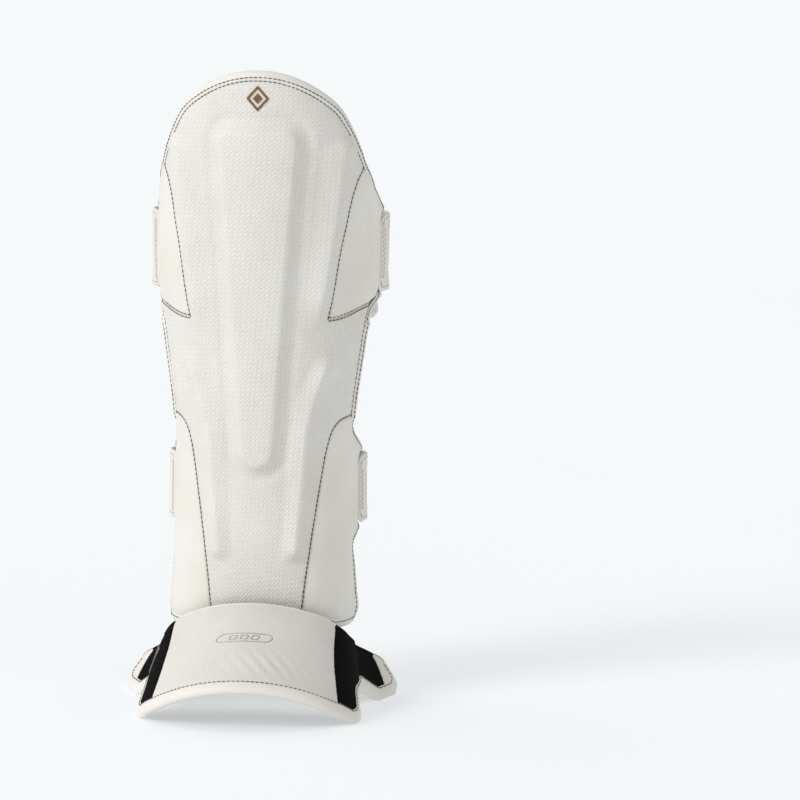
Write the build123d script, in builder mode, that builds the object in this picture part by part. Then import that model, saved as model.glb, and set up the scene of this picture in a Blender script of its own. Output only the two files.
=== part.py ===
from build123d import *
import os
from math import cos, radians, sin

# A shin and instep guard for standing martial arts, in millimetres. +Z runs up the leg and -Y is its front.
# The origin is on the leg's axis, at the surface that the guard stands on. Left and right are those of a
# viewer who faces its front. Three bodies move against the shin shell: the instep flap and two calf straps.

# ---- Driving dimensions ----
ANKLE_HALF_WIDTH = 62.5     # of the shin shell, outside
KNEE_HALF_WIDTH = 76.5
ANKLE_DEPTH = 60.5          # from the leg's axis to the front of the shell
KNEE_DEPTH = 78.0
STATIONS = range(40, 481, 40)   # heights of the shell's lofted sections
WING_REACH = 44.0           # how far the lofted side walls run behind the leg's axis
WING_SPREAD = 0.19          # sideways spread of a side wall, per unit of length towards the back
KNEE_TAPER = 3.0            # how much narrower the shell gets towards its top
ANKLE_FLARE = (4.5, 2.5)    # how much the shell flares towards its lower edge, at the sides and in front
SHIN_BINDING = 7.0          # width of the tape around the shin shell's edge
FOOT_BINDING = 8.0          # width of the tape around the instep flap's lower edge
TAPE_PROUD = 0.6            # how far the tapes stand above the panels
FIT = 0.1                   # room left between layers that lie on each other
SKIN = 2.4                  # thickness of the outer panels
CAVITY_WALL = 1.8           # skin thickness over the raised foam bars
BAR_HEIGHT = 5.2            # how far the tibia bar stands out
RIB_HEIGHT = 4.0            # how far the outer ribs stand out
IMPACT_DEPTH = (6.0, 9.0)   # depth of the hard foam's inner face, at the sides and at the front
COMFORT_DEPTH = (12.5, 20.5)
LINING_DEPTH = (14.0, 22.0)
FOOT_SKIN = 2.0
FOOT_FOAM_DEPTH = (7.0, 10.0)
FOOT_LINING_DEPTH = (8.6, 11.6)
REACH = 130.0               # half-length of the trimming prisms, beyond every surface
STRAP_THICKNESS = 2.2
STRAP_CENTRE = 40.0         # where the straps' rounded backs start, behind the leg's axis
HINGE_ANGLE = 140.0         # where on its rounded back a strap bends open, from the right-hand side
HINGE_GAP = 0.6             # between a strap's sewn root and its swinging band
FLEX_AXIS = (-44.0, 56.0)   # Y and Z of the line that the instep flap bends about

# Side view of the shin shell, as (Y, Z, corner radius). It starts at the front of the top edge.
SHIN_OUTLINE = (
    (-110, 487, 0), (-50, 430, 60), (-20, 387, 30), (33, 350, 10), (35, 285, 9), (-6, 273, 12), (-6, 200, 14),
    (33, 178, 10), (33, 120, 10), (3, 107, 10), (8, 54, 12), (-35, 54, 20), (-110, 90, 0),
)
# Side view of the instep flap. The first four corners are its top edge, which has no tape.
FOOT_TOP = ((-110, 108.5, 0), (-76, 80, 20), (-40, 52.5, 20), (22, 27, 9))
FOOT_HEM = (
    (25, 6, 9), (10, 0, 9), (-16, 0, 9), (-38, 12, 14), (-82, 12, 14), (-98, 0, 9),
    (-114, 0, 9), (-140, 15, 40), (-182, 51, 0),
)
# Sections of the instep flap along its slope: position, half-width, height, sideways spread.
FOOT_SECTIONS = ((-70, 64, 62, 0.55), (-20, 70, 64, 0.55), (40, 80, 72, 0.25), (115, 92, 88, 0.1))
FOOT_CROWN = (0, -76, 80)
FOOT_SLOPE = 31.0           # how far the instep's ridge falls towards the toes, in degrees
FOOT_WALL = 70.0            # length of the lofted side walls below the rounded top

os.makedirs("parts", exist_ok=True)


# ---- Shapes that several pieces share ----
def ramp(value, start, end):
    """Rises smoothly from 0 at start to 1 at end."""
    t = min(max((value - start) / (end - start), 0.0), 1.0)
    return t * t * (3.0 - 2.0 * t)


def half_width(z):
    """Half-width of the shin shell at height z: wide at the calf, with a small flare over the ankle."""
    ankle_flare = ANKLE_FLARE[0] * (max(150.0 - z, 0.0) / 100.0) ** 2
    knee_taper = KNEE_TAPER * (max(z - 400.0, 0.0) / 70.0) ** 2
    widening = (KNEE_HALF_WIDTH - ANKLE_HALF_WIDTH) * ramp(z, 170, 320)
    return ANKLE_HALF_WIDTH + widening + ankle_flare - knee_taper


def depth(z):
    """Depth of the shin shell's front at height z."""
    ankle_flare = ANKLE_FLARE[1] * (max(110.0 - z, 0.0) / 70.0) ** 2
    return ANKLE_DEPTH + (KNEE_DEPTH - ANKLE_DEPTH) * ramp(z, 110, 470) + ankle_flare


def shin_layer(outer, inner):
    """The U-shaped layer between two depths below the outer surface. A depth is (at the sides, in front)."""
    with BuildPart() as layer:
        for z in STATIONS:
            out_x, out_y = half_width(z) - outer[0], depth(z) - outer[1]
            in_x, in_y = half_width(z) - inner[0], depth(z) - inner[1]
            spread = WING_SPREAD * WING_REACH
            with BuildSketch(Plane.XY.offset(z)):
                with BuildLine():
                    EllipticalCenterArc((0, 0), out_x, out_y, start_angle=180, arc_size=180)
                    EllipticalCenterArc((0, 0), in_x, in_y, start_angle=180, arc_size=180)
                    for side in (-1, 1):
                        Polyline(
                            (side * out_x, 0),
                            (side * (out_x + spread), WING_REACH),
                            (side * (in_x + spread), WING_REACH),
                            (side * in_x, 0),
                        )
                make_face()
        loft()
    return layer.part


def foot_layer(outer, inner):
    """The arched layer of the instep flap between two depths. A depth is (at the sides, on the ridge)."""
    slope = radians(FOOT_SLOPE)
    along = Vector(0, -cos(slope), -sin(slope))
    with BuildPart() as layer:
        for position, width, height, spread in FOOT_SECTIONS:
            plane = Plane(origin=Vector(*FOOT_CROWN) + along * position, x_dir=(1, 0, 0), z_dir=along)
            with BuildSketch(plane):
                with BuildLine():
                    for deep in (outer, inner):
                        EllipticalCenterArc((0, -height), width - deep[0], height - deep[1], arc_size=180)
                    for side in (-1, 1):
                        Polyline(
                            (side * (width - outer[0]), -height),
                            (side * (width - outer[0] + spread * FOOT_WALL), -height - FOOT_WALL),
                            (side * (width - inner[0] + spread * FOOT_WALL), -height - FOOT_WALL),
                            (side * (width - inner[0]), -height),
                        )
                make_face()
        loft()
    return layer.part


def shin_outline(inset, band=0.0):
    """A prism across the shin's side view, moved in from its edge; with a band, only that width of edge."""
    with BuildPart() as prism:
        with BuildSketch(Plane.YZ):
            with BuildLine():
                corners = [(y, z) for y, z, _ in SHIN_OUTLINE]
                FilletPolyline(*corners, radius=[r for _, _, r in SHIN_OUTLINE], close=True)
            make_face()
            if inset:
                offset(amount=-inset)
            if band:
                offset(amount=-band, mode=Mode.SUBTRACT)
        extrude(amount=REACH, both=True)
    return prism.part


def foot_outline(top_rise, inset):
    """A prism across the instep's side view. A raised top edge keeps an inset off the real one."""
    with BuildPart() as prism:
        with BuildSketch(Plane.YZ):
            with BuildLine():
                top = [(y + top_rise * 0.4, z + top_rise, r) for y, z, r in FOOT_TOP]
                outline = top + list(FOOT_HEM)
                corners = [(y, z) for y, z, _ in outline]
                FilletPolyline(*corners, radius=[r for _, _, r in outline], close=True)
            make_face()
            if inset:
                offset(amount=-inset)
        extrude(amount=REACH, both=True)
    return prism.part


def front_prism(points, inset=0.0, side=1):
    """A prism through the front view with straight edges between (X, Z) points, on one side or both."""
    with BuildPart() as prism:
        with BuildSketch(Plane.XZ):
            with BuildLine():
                Polyline(*[(side * x, z) for x, z in points], close=True)
            make_face()
            if inset:
                offset(amount=-inset)
        extrude(amount=REACH, both=True)
    return prism.part


def side_prism(points, side, rounding=0.0):
    """A prism through one side wall, with (Y, Z) points as its side view."""
    with BuildPart() as prism:
        with BuildSketch(Plane.YZ):
            with BuildLine():
                FilletPolyline(*points, radius=rounding, close=True)
            make_face()
        extrude(amount=side * REACH)
    return prism.part


def common(*solids):
    """The volume that all the solids share."""
    with BuildPart() as shared:
        add(solids[0])
        for solid in solids[1:]:
            add(solid, mode=Mode.INTERSECT)
    return shared.part


def save(piece, name):
    piece.part.label = name
    export_step(piece.part, f"parts/{name}.step")


SIDES = ((-1, "left"), (1, "right"))
shin_inside = shin_outline(inset=SHIN_BINDING + FIT)

# ---- Side covers: smooth leather panels let into the outer skin, two on each side ----
UPPER_COVER = (
    (49, 279), (56, 322), (60, 343), (63, 358), (66.5, 375), (70, 382), (76, 388),
    (REACH, 392), (REACH, 285), (76, 284), (64, 281),
)
LOWER_COVER = (
    (32, 40), (33.4, 74), (38.7, 119), (44, 157), (46.5, 174), (49, 188), (51.5, 197), (56, 203), (64, 206),
    (REACH, 209), (REACH, 40),
)
skin_layer = shin_layer((0, 0), (SKIN, SKIN))
cover_regions = []
for side, side_name in SIDES:
    for cover_name, corners in (("upper", UPPER_COVER), ("lower", LOWER_COVER)):
        cover_regions.append(front_prism(corners, side=side))
        with BuildPart() as cover:
            add(skin_layer)
            add(front_prism(corners, inset=FIT, side=side), mode=Mode.INTERSECT)
            add(shin_inside, mode=Mode.INTERSECT)
        save(cover, f"{cover_name}_{side_name}_cover")

# ---- Raised foam bars and the centre panel that is moulded over them ----
TIBIA_BAR = (
    (-32, 405), (-30, 414), (-24, 419), (24, 419), (30, 414), (32, 405), (29, 360), (23, 270), (17, 190),
    (15, 176), (10, 168), (-10, 168), (-15, 176), (-17, 190), (-23, 270), (-29, 360),
)
UPPER_RIB = (
    (45, 400), (48, 406), (56, 404), (58, 396), (51, 345),
    (43, 293), (40, 279), (34, 279), (32, 293), (39, 345),
)
LOWER_RIB = (
    (39, 250), (47, 252), (43, 236), (37, 220), (32, 198), (30, 168), (27.5, 136), (25, 112), (21, 107),
    (18, 112), (19, 136), (20, 168), (22, 196), (27, 222),
)
bars = [("tibia_bar_foam", TIBIA_BAR, 1, BAR_HEIGHT)]
for side, side_name in SIDES:
    bars.append((f"upper_{side_name}_rib_foam", UPPER_RIB, side, RIB_HEIGHT))
    bars.append((f"lower_{side_name}_rib_foam", LOWER_RIB, side, RIB_HEIGHT))

bulges = []
cavities = []
for name, corners, side, height in bars:
    top = height - CAVITY_WALL
    bulge = shin_layer((-height, -height), (SKIN / 2, SKIN / 2))
    cavity = shin_layer((-top, -top), (SKIN + FIT, SKIN + FIT))
    foam = shin_layer((FIT - top, FIT - top), (SKIN, SKIN))
    bulges.append(common(bulge, front_prism(corners, side=side)))
    cavities.append(common(cavity, front_prism(corners, inset=CAVITY_WALL, side=side)))
    with BuildPart() as bar_foam:
        add(foam)
        add(front_prism(corners, inset=CAVITY_WALL + FIT, side=side), mode=Mode.INTERSECT)
    save(bar_foam, name)

with BuildPart() as shin_center_panel:
    add(skin_layer)
    add(shin_inside, mode=Mode.INTERSECT)
    for region in cover_regions:
        add(region, mode=Mode.SUBTRACT)
    for bulge in bulges:
        add(bulge)
    for cavity in cavities:
        add(cavity, mode=Mode.SUBTRACT)
save(shin_center_panel, "shin_center_panel")

# ---- Hard foam, soft foam and lining, each just inside the one before ----
under_skin = (SKIN + FIT, SKIN + FIT)
under_impact = (IMPACT_DEPTH[0] + FIT, IMPACT_DEPTH[1] + FIT)
under_comfort = (COMFORT_DEPTH[0] + FIT, COMFORT_DEPTH[1] + FIT)
with BuildPart() as impact_foam:
    add(shin_layer(under_skin, IMPACT_DEPTH))
    add(shin_inside, mode=Mode.INTERSECT)
save(impact_foam, "impact_foam")

with BuildPart() as comfort_foam:
    add(shin_layer(under_impact, COMFORT_DEPTH))
    add(shin_inside, mode=Mode.INTERSECT)
save(comfort_foam, "comfort_foam")

with BuildPart() as shin_lining:
    add(shin_layer(under_comfort, LINING_DEPTH))
    add(shin_inside, mode=Mode.INTERSECT)
save(shin_lining, "shin_lining")

# ---- The binding tape that closes the edge of all layers, in four strips that meet end to end ----
TOP_STRIP_END = 376.0       # Z where the top strip meets the side strips
BOTTOM_STRIP_END = 84.0
whole_shin = shin_layer(
    (-TAPE_PROUD, -TAPE_PROUD), (LINING_DEPTH[0] + TAPE_PROUD, LINING_DEPTH[1] + TAPE_PROUD)
)
with BuildPart() as shin_tape:
    add(whole_shin)
    add(shin_outline(inset=0, band=SHIN_BINDING), mode=Mode.INTERSECT)

with BuildPart() as shin_top_binding:
    add(shin_tape.part)
    split(bisect_by=Plane.XY.offset(TOP_STRIP_END), keep=Keep.TOP)
save(shin_top_binding, "shin_top_binding")

with BuildPart() as shin_bottom_binding:
    add(shin_tape.part)
    split(bisect_by=Plane.XY.offset(BOTTOM_STRIP_END), keep=Keep.BOTTOM)
save(shin_bottom_binding, "shin_bottom_binding")

for side, side_name in SIDES:
    with BuildPart() as side_binding:
        add(shin_tape.part)
        split(bisect_by=Plane.XY.offset(TOP_STRIP_END - FIT), keep=Keep.BOTTOM)
        split(bisect_by=Plane.XY.offset(BOTTOM_STRIP_END + FIT), keep=Keep.TOP)
        split(bisect_by=Plane.YZ, keep=Keep.TOP if side > 0 else Keep.BOTTOM)
    save(side_binding, f"shin_{side_name}_binding")

# ---- A blank lozenge badge near the top ----
BADGE_CENTRE = 436.0
BADGE_HALF = (7.5, 9.0)
badge_corners = (
    (0, BADGE_CENTRE + BADGE_HALF[1]), (BADGE_HALF[0], BADGE_CENTRE),
    (0, BADGE_CENTRE - BADGE_HALF[1]), (-BADGE_HALF[0], BADGE_CENTRE),
)
with BuildPart() as shin_badge:
    add(shin_layer((-0.7, -0.7), (-0.05, -0.05)))
    add(front_prism(badge_corners), mode=Mode.INTERSECT)
save(shin_badge, "shin_badge")

# ---- Calf straps: a root sewn to the left wall, and a band that swings open, held by hook and loop ----
LOOP_TAPE = (0.7, 1.6)      # distances outside the right-hand wall
HOOK_TAPE = (1.8, 2.7)
BAND_RIGHT = (3.0, 3.0 + STRAP_THICKNESS)
BAND_LEFT = (0.8, 0.8 + STRAP_THICKNESS)
TAB = (5.4, 6.4)
ANCHOR = (3.2, 4.1)
BAND_FRONT = 18.0           # Y of the band's front end, over the right-hand wall
ROOT_FRONT = 18.0           # Y of the root's front end, over the left-hand wall
TAPE_ENDS = (20.0, 33.0)    # Y of the front and back ends of the hook and loop patches
TAPE_MARGIN = 6.0           # from a strap's edges to its hook and loop patches
TAB_SIZE = (9.0, 8.0)       # length of a pull tab, and its distance from the strap's edges
ANCHOR_SIZE = (11.0, 4.0)   # the same for the leather anchor that is sewn over a root's end
PATCH_ROUNDING = 3.0
STRAPS = (("upper", 289.0, 345.0, 37.0), ("lower", 122.0, 171.0, 32.0))


def strap_loop(bottom, top, back):
    """The whole strap before it is cut at its hinge: two straight legs and a half-ellipse behind the calf."""
    legs = ((1, BAND_RIGHT, BAND_FRONT), (-1, BAND_LEFT, ROOT_FRONT))
    centre_x = (BAND_RIGHT[1] - BAND_LEFT[1]) / 2
    step = (top - bottom) / 3
    with BuildPart() as loop:
        for z in (bottom, bottom + step, bottom + 2 * step, top):
            wall = half_width(z)
            far = wall + WING_SPREAD * STRAP_CENTRE
            outer_rx = far + (BAND_RIGHT[1] + BAND_LEFT[1]) / 2
            with BuildSketch(Plane.XY.offset(z)):
                with BuildLine():
                    centre = (centre_x, STRAP_CENTRE)
                    inner_rx, inner_back = outer_rx - STRAP_THICKNESS, back - STRAP_THICKNESS
                    EllipticalCenterArc(centre, outer_rx, back, arc_size=180)
                    EllipticalCenterArc(centre, inner_rx, inner_back, arc_size=180)
                    for side, (near, out), front in legs:
                        Polyline(
                            (side * (far + near), STRAP_CENTRE),
                            (side * (wall + WING_SPREAD * front + near), front),
                            (side * (wall + WING_SPREAD * front + out), front),
                            (side * (far + out), STRAP_CENTRE),
                        )
                make_face()
        loft()
    return loop.part


def root_region(top, back, growth=0.0):
    """The part of a strap between its sewn end and its hinge, seen from above."""
    angle = radians(HINGE_ANGLE)
    reach_x = half_width(top) + WING_SPREAD * STRAP_CENTRE + 4.0
    hinge = Vector(reach_x * cos(angle), STRAP_CENTRE + back * sin(angle))
    normal = Vector(cos(angle) / reach_x, sin(angle) / back).normalized()
    inside = hinge - normal * 20
    outside = hinge + normal * 20
    with BuildPart() as prism:
        with BuildSketch():
            with BuildLine():
                Polyline(
                    (inside.X, inside.Y), (outside.X, outside.Y), (-REACH, outside.Y), (-REACH, -20),
                    (inside.X, -20), close=True,
                )
            make_face()
            if growth:
                offset(amount=growth)
        extrude(amount=500)
    return prism.part


for strap_name, bottom, top, back in STRAPS:
    loop = strap_loop(bottom, top, back)
    middle = (bottom + top) / 2
    tape_half = (top - bottom) / 2 - TAPE_MARGIN
    tape_corners = (
        (TAPE_ENDS[0], middle - tape_half), (TAPE_ENDS[1], middle - tape_half),
        (TAPE_ENDS[1], middle + tape_half), (TAPE_ENDS[0], middle + tape_half),
    )
    tab_low, tab_high = bottom + TAB_SIZE[1], top - TAB_SIZE[1]
    tab_back = BAND_FRONT + TAB_SIZE[0]
    tab_corners = ((BAND_FRONT, tab_low), (tab_back, tab_low), (tab_back, tab_high), (BAND_FRONT, tab_high))
    anchor_front, anchor_back = ROOT_FRONT + 1, ROOT_FRONT + 1 + ANCHOR_SIZE[0]
    anchor_low, anchor_high = bottom + ANCHOR_SIZE[1], top - ANCHOR_SIZE[1]
    anchor_corners = (
        (anchor_front, anchor_low), (anchor_back, anchor_low),
        (anchor_back, anchor_high), (anchor_front, anchor_high),
    )
    with BuildPart() as strap_root:
        add(loop)
        add(root_region(top, back), mode=Mode.INTERSECT)
    save(strap_root, f"{strap_name}_strap_root")

    with BuildPart() as strap_band:
        add(loop)
        add(root_region(top, back, growth=HINGE_GAP), mode=Mode.SUBTRACT)
    save(strap_band, f"{strap_name}_strap_band")

    with BuildPart() as loop_patch:
        add(shin_layer((-LOOP_TAPE[1], -LOOP_TAPE[1]), (-LOOP_TAPE[0], -LOOP_TAPE[0])))
        add(side_prism(tape_corners, side=1, rounding=PATCH_ROUNDING), mode=Mode.INTERSECT)
    save(loop_patch, f"{strap_name}_loop_patch")

    with BuildPart() as hook_patch:
        add(shin_layer((-HOOK_TAPE[1], -HOOK_TAPE[1]), (-HOOK_TAPE[0], -HOOK_TAPE[0])))
        add(side_prism(tape_corners, side=1, rounding=PATCH_ROUNDING), mode=Mode.INTERSECT)
    save(hook_patch, f"{strap_name}_hook_patch")

    with BuildPart() as pull_tab:
        add(shin_layer((-TAB[1], -TAB[1]), (-TAB[0], -TAB[0])))
        add(side_prism(tab_corners, side=1, rounding=PATCH_ROUNDING), mode=Mode.INTERSECT)
    save(pull_tab, f"{strap_name}_pull_tab")

    with BuildPart() as strap_anchor:
        add(shin_layer((-ANCHOR[1], -ANCHOR[1]), (-ANCHOR[0], -ANCHOR[0])))
        add(side_prism(anchor_corners, side=-1, rounding=PATCH_ROUNDING), mode=Mode.INTERSECT)
    save(strap_anchor, f"{strap_name}_strap_anchor")

# ---- Instep flap: cover, side panels and wing patches over foam and lining ----
# Half of the cover's plan outline, as (X, Y) from behind the flap to beyond its hem.
COVER_EDGE = ((56, 0), (57, -38), (58, -70), (60, -95), (65, -122), (69, -150), (73, -REACH * 1.6))
WING_LINE = ((17, 60), (-6, -10))   # the wing patch lies behind this side-view line
foot_whole = foot_outline(top_rise=0, inset=0)
foot_inside = common(foot_whole, foot_outline(top_rise=40, inset=FOOT_BINDING + FIT))
foot_skin = common(foot_layer((0, 0), (FOOT_SKIN, FOOT_SKIN)), foot_inside)


def cover_region(growth=0.0):
    """A prism over the instep's white cover, through the plan view."""
    with BuildPart() as prism:
        with BuildSketch():
            with BuildLine():
                left_edge = [(-x, y) for x, y in reversed(COVER_EDGE)]
                Polyline(*COVER_EDGE, *left_edge, close=True)
            make_face()
            if growth:
                offset(amount=growth)
        extrude(amount=REACH)
    return prism.part


def wing_region(side, gap=0.0):
    """A prism behind the line where a wing patch starts."""
    (upper_y, upper_z), (lower_y, lower_z) = WING_LINE
    corners = ((upper_y + gap, upper_z), (lower_y + gap, lower_z), (REACH, lower_z), (REACH, upper_z))
    return side_prism(corners, side)


with BuildPart() as instep_cover:
    add(foot_skin)
    add(cover_region(), mode=Mode.INTERSECT)
save(instep_cover, "instep_cover")

for side, side_name in SIDES:
    with BuildPart() as side_panel:
        add(foot_skin)
        split(bisect_by=Plane.YZ, keep=Keep.TOP if side > 0 else Keep.BOTTOM)
        add(cover_region(growth=FIT), mode=Mode.SUBTRACT)
        add(wing_region(side), mode=Mode.SUBTRACT)
    save(side_panel, f"{side_name}_side_panel")

    with BuildPart() as wing_patch:
        add(foot_skin)
        add(wing_region(side, gap=FIT), mode=Mode.INTERSECT)
        add(cover_region(growth=FIT), mode=Mode.SUBTRACT)
    save(wing_patch, f"{side_name}_wing_patch")

with BuildPart() as instep_foam:
    add(foot_layer((FOOT_SKIN + FIT, FOOT_SKIN + FIT), FOOT_FOAM_DEPTH))
    add(foot_inside, mode=Mode.INTERSECT)
save(instep_foam, "instep_foam")

with BuildPart() as instep_lining:
    add(foot_layer((FOOT_FOAM_DEPTH[0] + FIT, FOOT_FOAM_DEPTH[1] + FIT), FOOT_LINING_DEPTH))
    add(foot_inside, mode=Mode.INTERSECT)
save(instep_lining, "instep_lining")

# ---- Binding tape along the instep's hem and around each wing ----
tape_outer = (-TAPE_PROUD, -TAPE_PROUD)
tape_inner = (FOOT_LINING_DEPTH[0] + TAPE_PROUD, FOOT_LINING_DEPTH[1] + TAPE_PROUD)
WING_SPLIT = -60.0          # Y where the hem's tape meets a wing's tape
with BuildPart() as foot_tape:
    add(foot_layer(tape_outer, tape_inner))
    add(foot_whole, mode=Mode.INTERSECT)
    add(foot_outline(top_rise=40, inset=FOOT_BINDING), mode=Mode.SUBTRACT)

with BuildPart() as instep_hem_binding:
    add(foot_tape.part)
    split(bisect_by=Plane.XZ.offset(-WING_SPLIT), keep=Keep.TOP)
save(instep_hem_binding, "instep_hem_binding")

for side, side_name in SIDES:
    with BuildPart() as wing_binding:
        add(foot_tape.part)
        split(bisect_by=Plane.XZ.offset(-WING_SPLIT - FIT), keep=Keep.BOTTOM)
        split(bisect_by=Plane.YZ, keep=Keep.TOP if side > 0 else Keep.BOTTOM)
    save(wing_binding, f"{side_name}_wing_binding")

# ---- Elastic straps under the sole and behind the heel, sewn inside the side walls ----
with BuildPart() as foot_wall:
    add(foot_layer((-8, -8), (tape_inner[0] + FIT, tape_inner[1] + FIT)))

SOLE_STRAP = (144.0, 40.0, 2.5)
SOLE_CENTRE = (-58.0, 17.0)
with BuildPart() as sole_strap:
    with Locations((0, *SOLE_CENTRE)):
        Box(*SOLE_STRAP)
    add(foot_wall.part, mode=Mode.SUBTRACT)
save(sole_strap, "sole_strap")

HEEL_STRAP = ((5.0, 81.0), (29.0, 71.5))   # (height, half-width) of its lower and upper edges
HEEL_FRONT = 4.0
HEEL_CENTRE = 12.0
HEEL_BACK = 42.0
HEEL_THICKNESS = 2.0
with BuildPart() as heel_strap:
    for z, reach_x in HEEL_STRAP:
        with BuildSketch(Plane.XY.offset(z)):
            with BuildLine():
                for shrink in (0, HEEL_THICKNESS):
                    EllipticalCenterArc((0, HEEL_CENTRE), reach_x - shrink, HEEL_BACK - shrink, arc_size=180)
                for side in (-1, 1):
                    Polyline(
                        (side * reach_x, HEEL_CENTRE), (side * reach_x, HEEL_FRONT),
                        (side * (reach_x - HEEL_THICKNESS), HEEL_FRONT),
                        (side * (reach_x - HEEL_THICKNESS), HEEL_CENTRE),
                    )
            make_face()
    loft()
    add(foot_wall.part, mode=Mode.SUBTRACT)
save(heel_strap, "heel_strap")

# ---- A blank woven label on the left side panel ----
with BuildPart() as foot_label:
    add(foot_layer((-0.8, -0.8), (-0.1, -0.1)))
    add(side_prism(((-66, 24), (-49, 24), (-49, 42), (-66, 42)), side=-1), mode=Mode.INTERSECT)
save(foot_label, "foot_label")

# ---- The fabric gusset that joins the flap to the shin's lower front edge ----
GUSSET_HALF_WIDTH = 44.0
with BuildPart() as ankle_gusset:
    with BuildSketch(Plane.YZ):
        with BuildLine():
            Polyline((-44, 55), (-58, 60.5), (-88, 60.5), (-88, 59), (-58, 59), (-44, 53.5), close=True)
        make_face()
    extrude(amount=GUSSET_HALF_WIDTH, both=True)
    add(foot_wall.part, mode=Mode.SUBTRACT)
    add(common(whole_shin, shin_outline(inset=0)), mode=Mode.SUBTRACT)
save(ankle_gusset, "ankle_gusset")
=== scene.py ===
from math import acos, cos, pi, radians, sin, tan

import bpy
import numpy as np
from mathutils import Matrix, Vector, kdtree, noise
from mathutils.geometry import delaunay_2d_cdt


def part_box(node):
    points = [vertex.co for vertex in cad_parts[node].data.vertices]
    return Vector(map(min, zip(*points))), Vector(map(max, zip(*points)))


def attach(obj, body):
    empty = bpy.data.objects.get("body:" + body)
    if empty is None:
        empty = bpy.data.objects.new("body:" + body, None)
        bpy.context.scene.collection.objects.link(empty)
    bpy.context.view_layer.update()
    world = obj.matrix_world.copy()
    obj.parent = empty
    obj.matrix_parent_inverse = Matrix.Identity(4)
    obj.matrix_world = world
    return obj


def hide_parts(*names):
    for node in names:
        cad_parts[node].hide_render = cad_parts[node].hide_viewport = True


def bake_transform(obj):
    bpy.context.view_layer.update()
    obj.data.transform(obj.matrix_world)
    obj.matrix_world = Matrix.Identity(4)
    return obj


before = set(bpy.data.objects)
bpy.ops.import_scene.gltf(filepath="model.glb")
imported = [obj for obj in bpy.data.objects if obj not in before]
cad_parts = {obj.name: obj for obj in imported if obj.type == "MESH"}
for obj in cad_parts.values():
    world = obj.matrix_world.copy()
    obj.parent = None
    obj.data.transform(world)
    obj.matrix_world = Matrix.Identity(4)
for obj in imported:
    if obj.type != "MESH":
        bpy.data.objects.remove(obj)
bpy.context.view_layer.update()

# The soft layers of a shin and instep guard. Shapes are worked out in millimetres and made in metres.
# A surface has two coordinates: u, sideways from its front ridge, and v, along the leg or the foot.
MM = 0.001

# ---- Driving dimensions, the same as the CAD's ----
ANKLE_HALF_WIDTH, KNEE_HALF_WIDTH = 62.5, 76.5
ANKLE_DEPTH, KNEE_DEPTH = 60.5, 78.0
WING_SPREAD = 0.19
SHIN_QUARTER = 110.0        # u from the shin's ridge to the start of its flat side wall
FOOT_QUARTER = 112.0
SHIN_TAPE = 7.0
FOOT_TAPE = 9.4
SHIN_OUTLINE = (
    (-110, 487, 0), (-50, 430, 60), (-20, 387, 30), (33, 350, 10), (35, 285, 9), (-6, 273, 12),
    (-6, 200, 14), (33, 178, 10), (33, 120, 10), (3, 107, 10), (8, 54, 12), (-35, 54, 20), (-110, 90, 0),
)
FOOT_OUTLINE = (
    (-110, 108.5, 0), (-76, 80, 20), (-40, 52.5, 20), (22, 27, 9),
    (25, 6, 9), (10, 0, 9), (-16, 0, 9), (-38, 12, 14), (-82, 12, 14), (-98, 0, 9),
    (-114, 0, 9), (-140, 15, 40), (-182, 51, 0),
)
# Sections of the instep flap along its slope: position, half-width, height, sideways spread.
FOOT_SECTIONS = np.array((
    (-70, 64, 62, 0.55), (-20, 70, 64, 0.55), (40, 80, 72, 0.25), (115, 92, 88, 0.1),
))
FOOT_CROWN = np.array((0.0, -76.0, 80.0))
FOOT_SLOPE = radians(31.0)
STRAP_CENTRE = 40.0
# Each strap's bottom, top and reach behind its centre.
STRAPS = {"upper": (289.0, 345.0, 37.0), "lower": (122.0, 171.0, 32.0)}
STRAP_THICKNESS = 2.2
HINGE_ANGLE = 140.0         # where on its rounded back a strap bends open, from the right, in degrees
HINGE_ACROSS = 84.0         # half-width taken for that angle, the same for both straps


# ---- Small shape helpers ----
def ramp(value, start, end):
    """Rises smoothly from 0 at start to 1 at end."""
    t = np.clip((np.asarray(value, float) - start) / (end - start), 0.0, 1.0)
    return t * t * (3.0 - 2.0 * t)


def half_width(z):
    z = np.asarray(z, float)
    ankle_flare = 4.5 * (np.maximum(150.0 - z, 0.0) / 100.0) ** 2
    knee_taper = 3.0 * (np.maximum(z - 400.0, 0.0) / 70.0) ** 2
    widening = (KNEE_HALF_WIDTH - ANKLE_HALF_WIDTH) * ramp(z, 170, 320)
    return ANKLE_HALF_WIDTH + widening + ankle_flare - knee_taper


def depth(z):
    z = np.asarray(z, float)
    ankle_flare = 2.5 * (np.maximum(110.0 - z, 0.0) / 70.0) ** 2
    return ANKLE_DEPTH + (KNEE_DEPTH - ANKLE_DEPTH) * ramp(z, 110, 470) + ankle_flare


def soft_noise(points, size, seed):
    """Smooth noise between about -1 and 1 at each (u, v) point, with lumps of the given size."""
    return np.array([noise.noise(Vector((u / size, v / size, seed))) for u, v in points])


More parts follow.
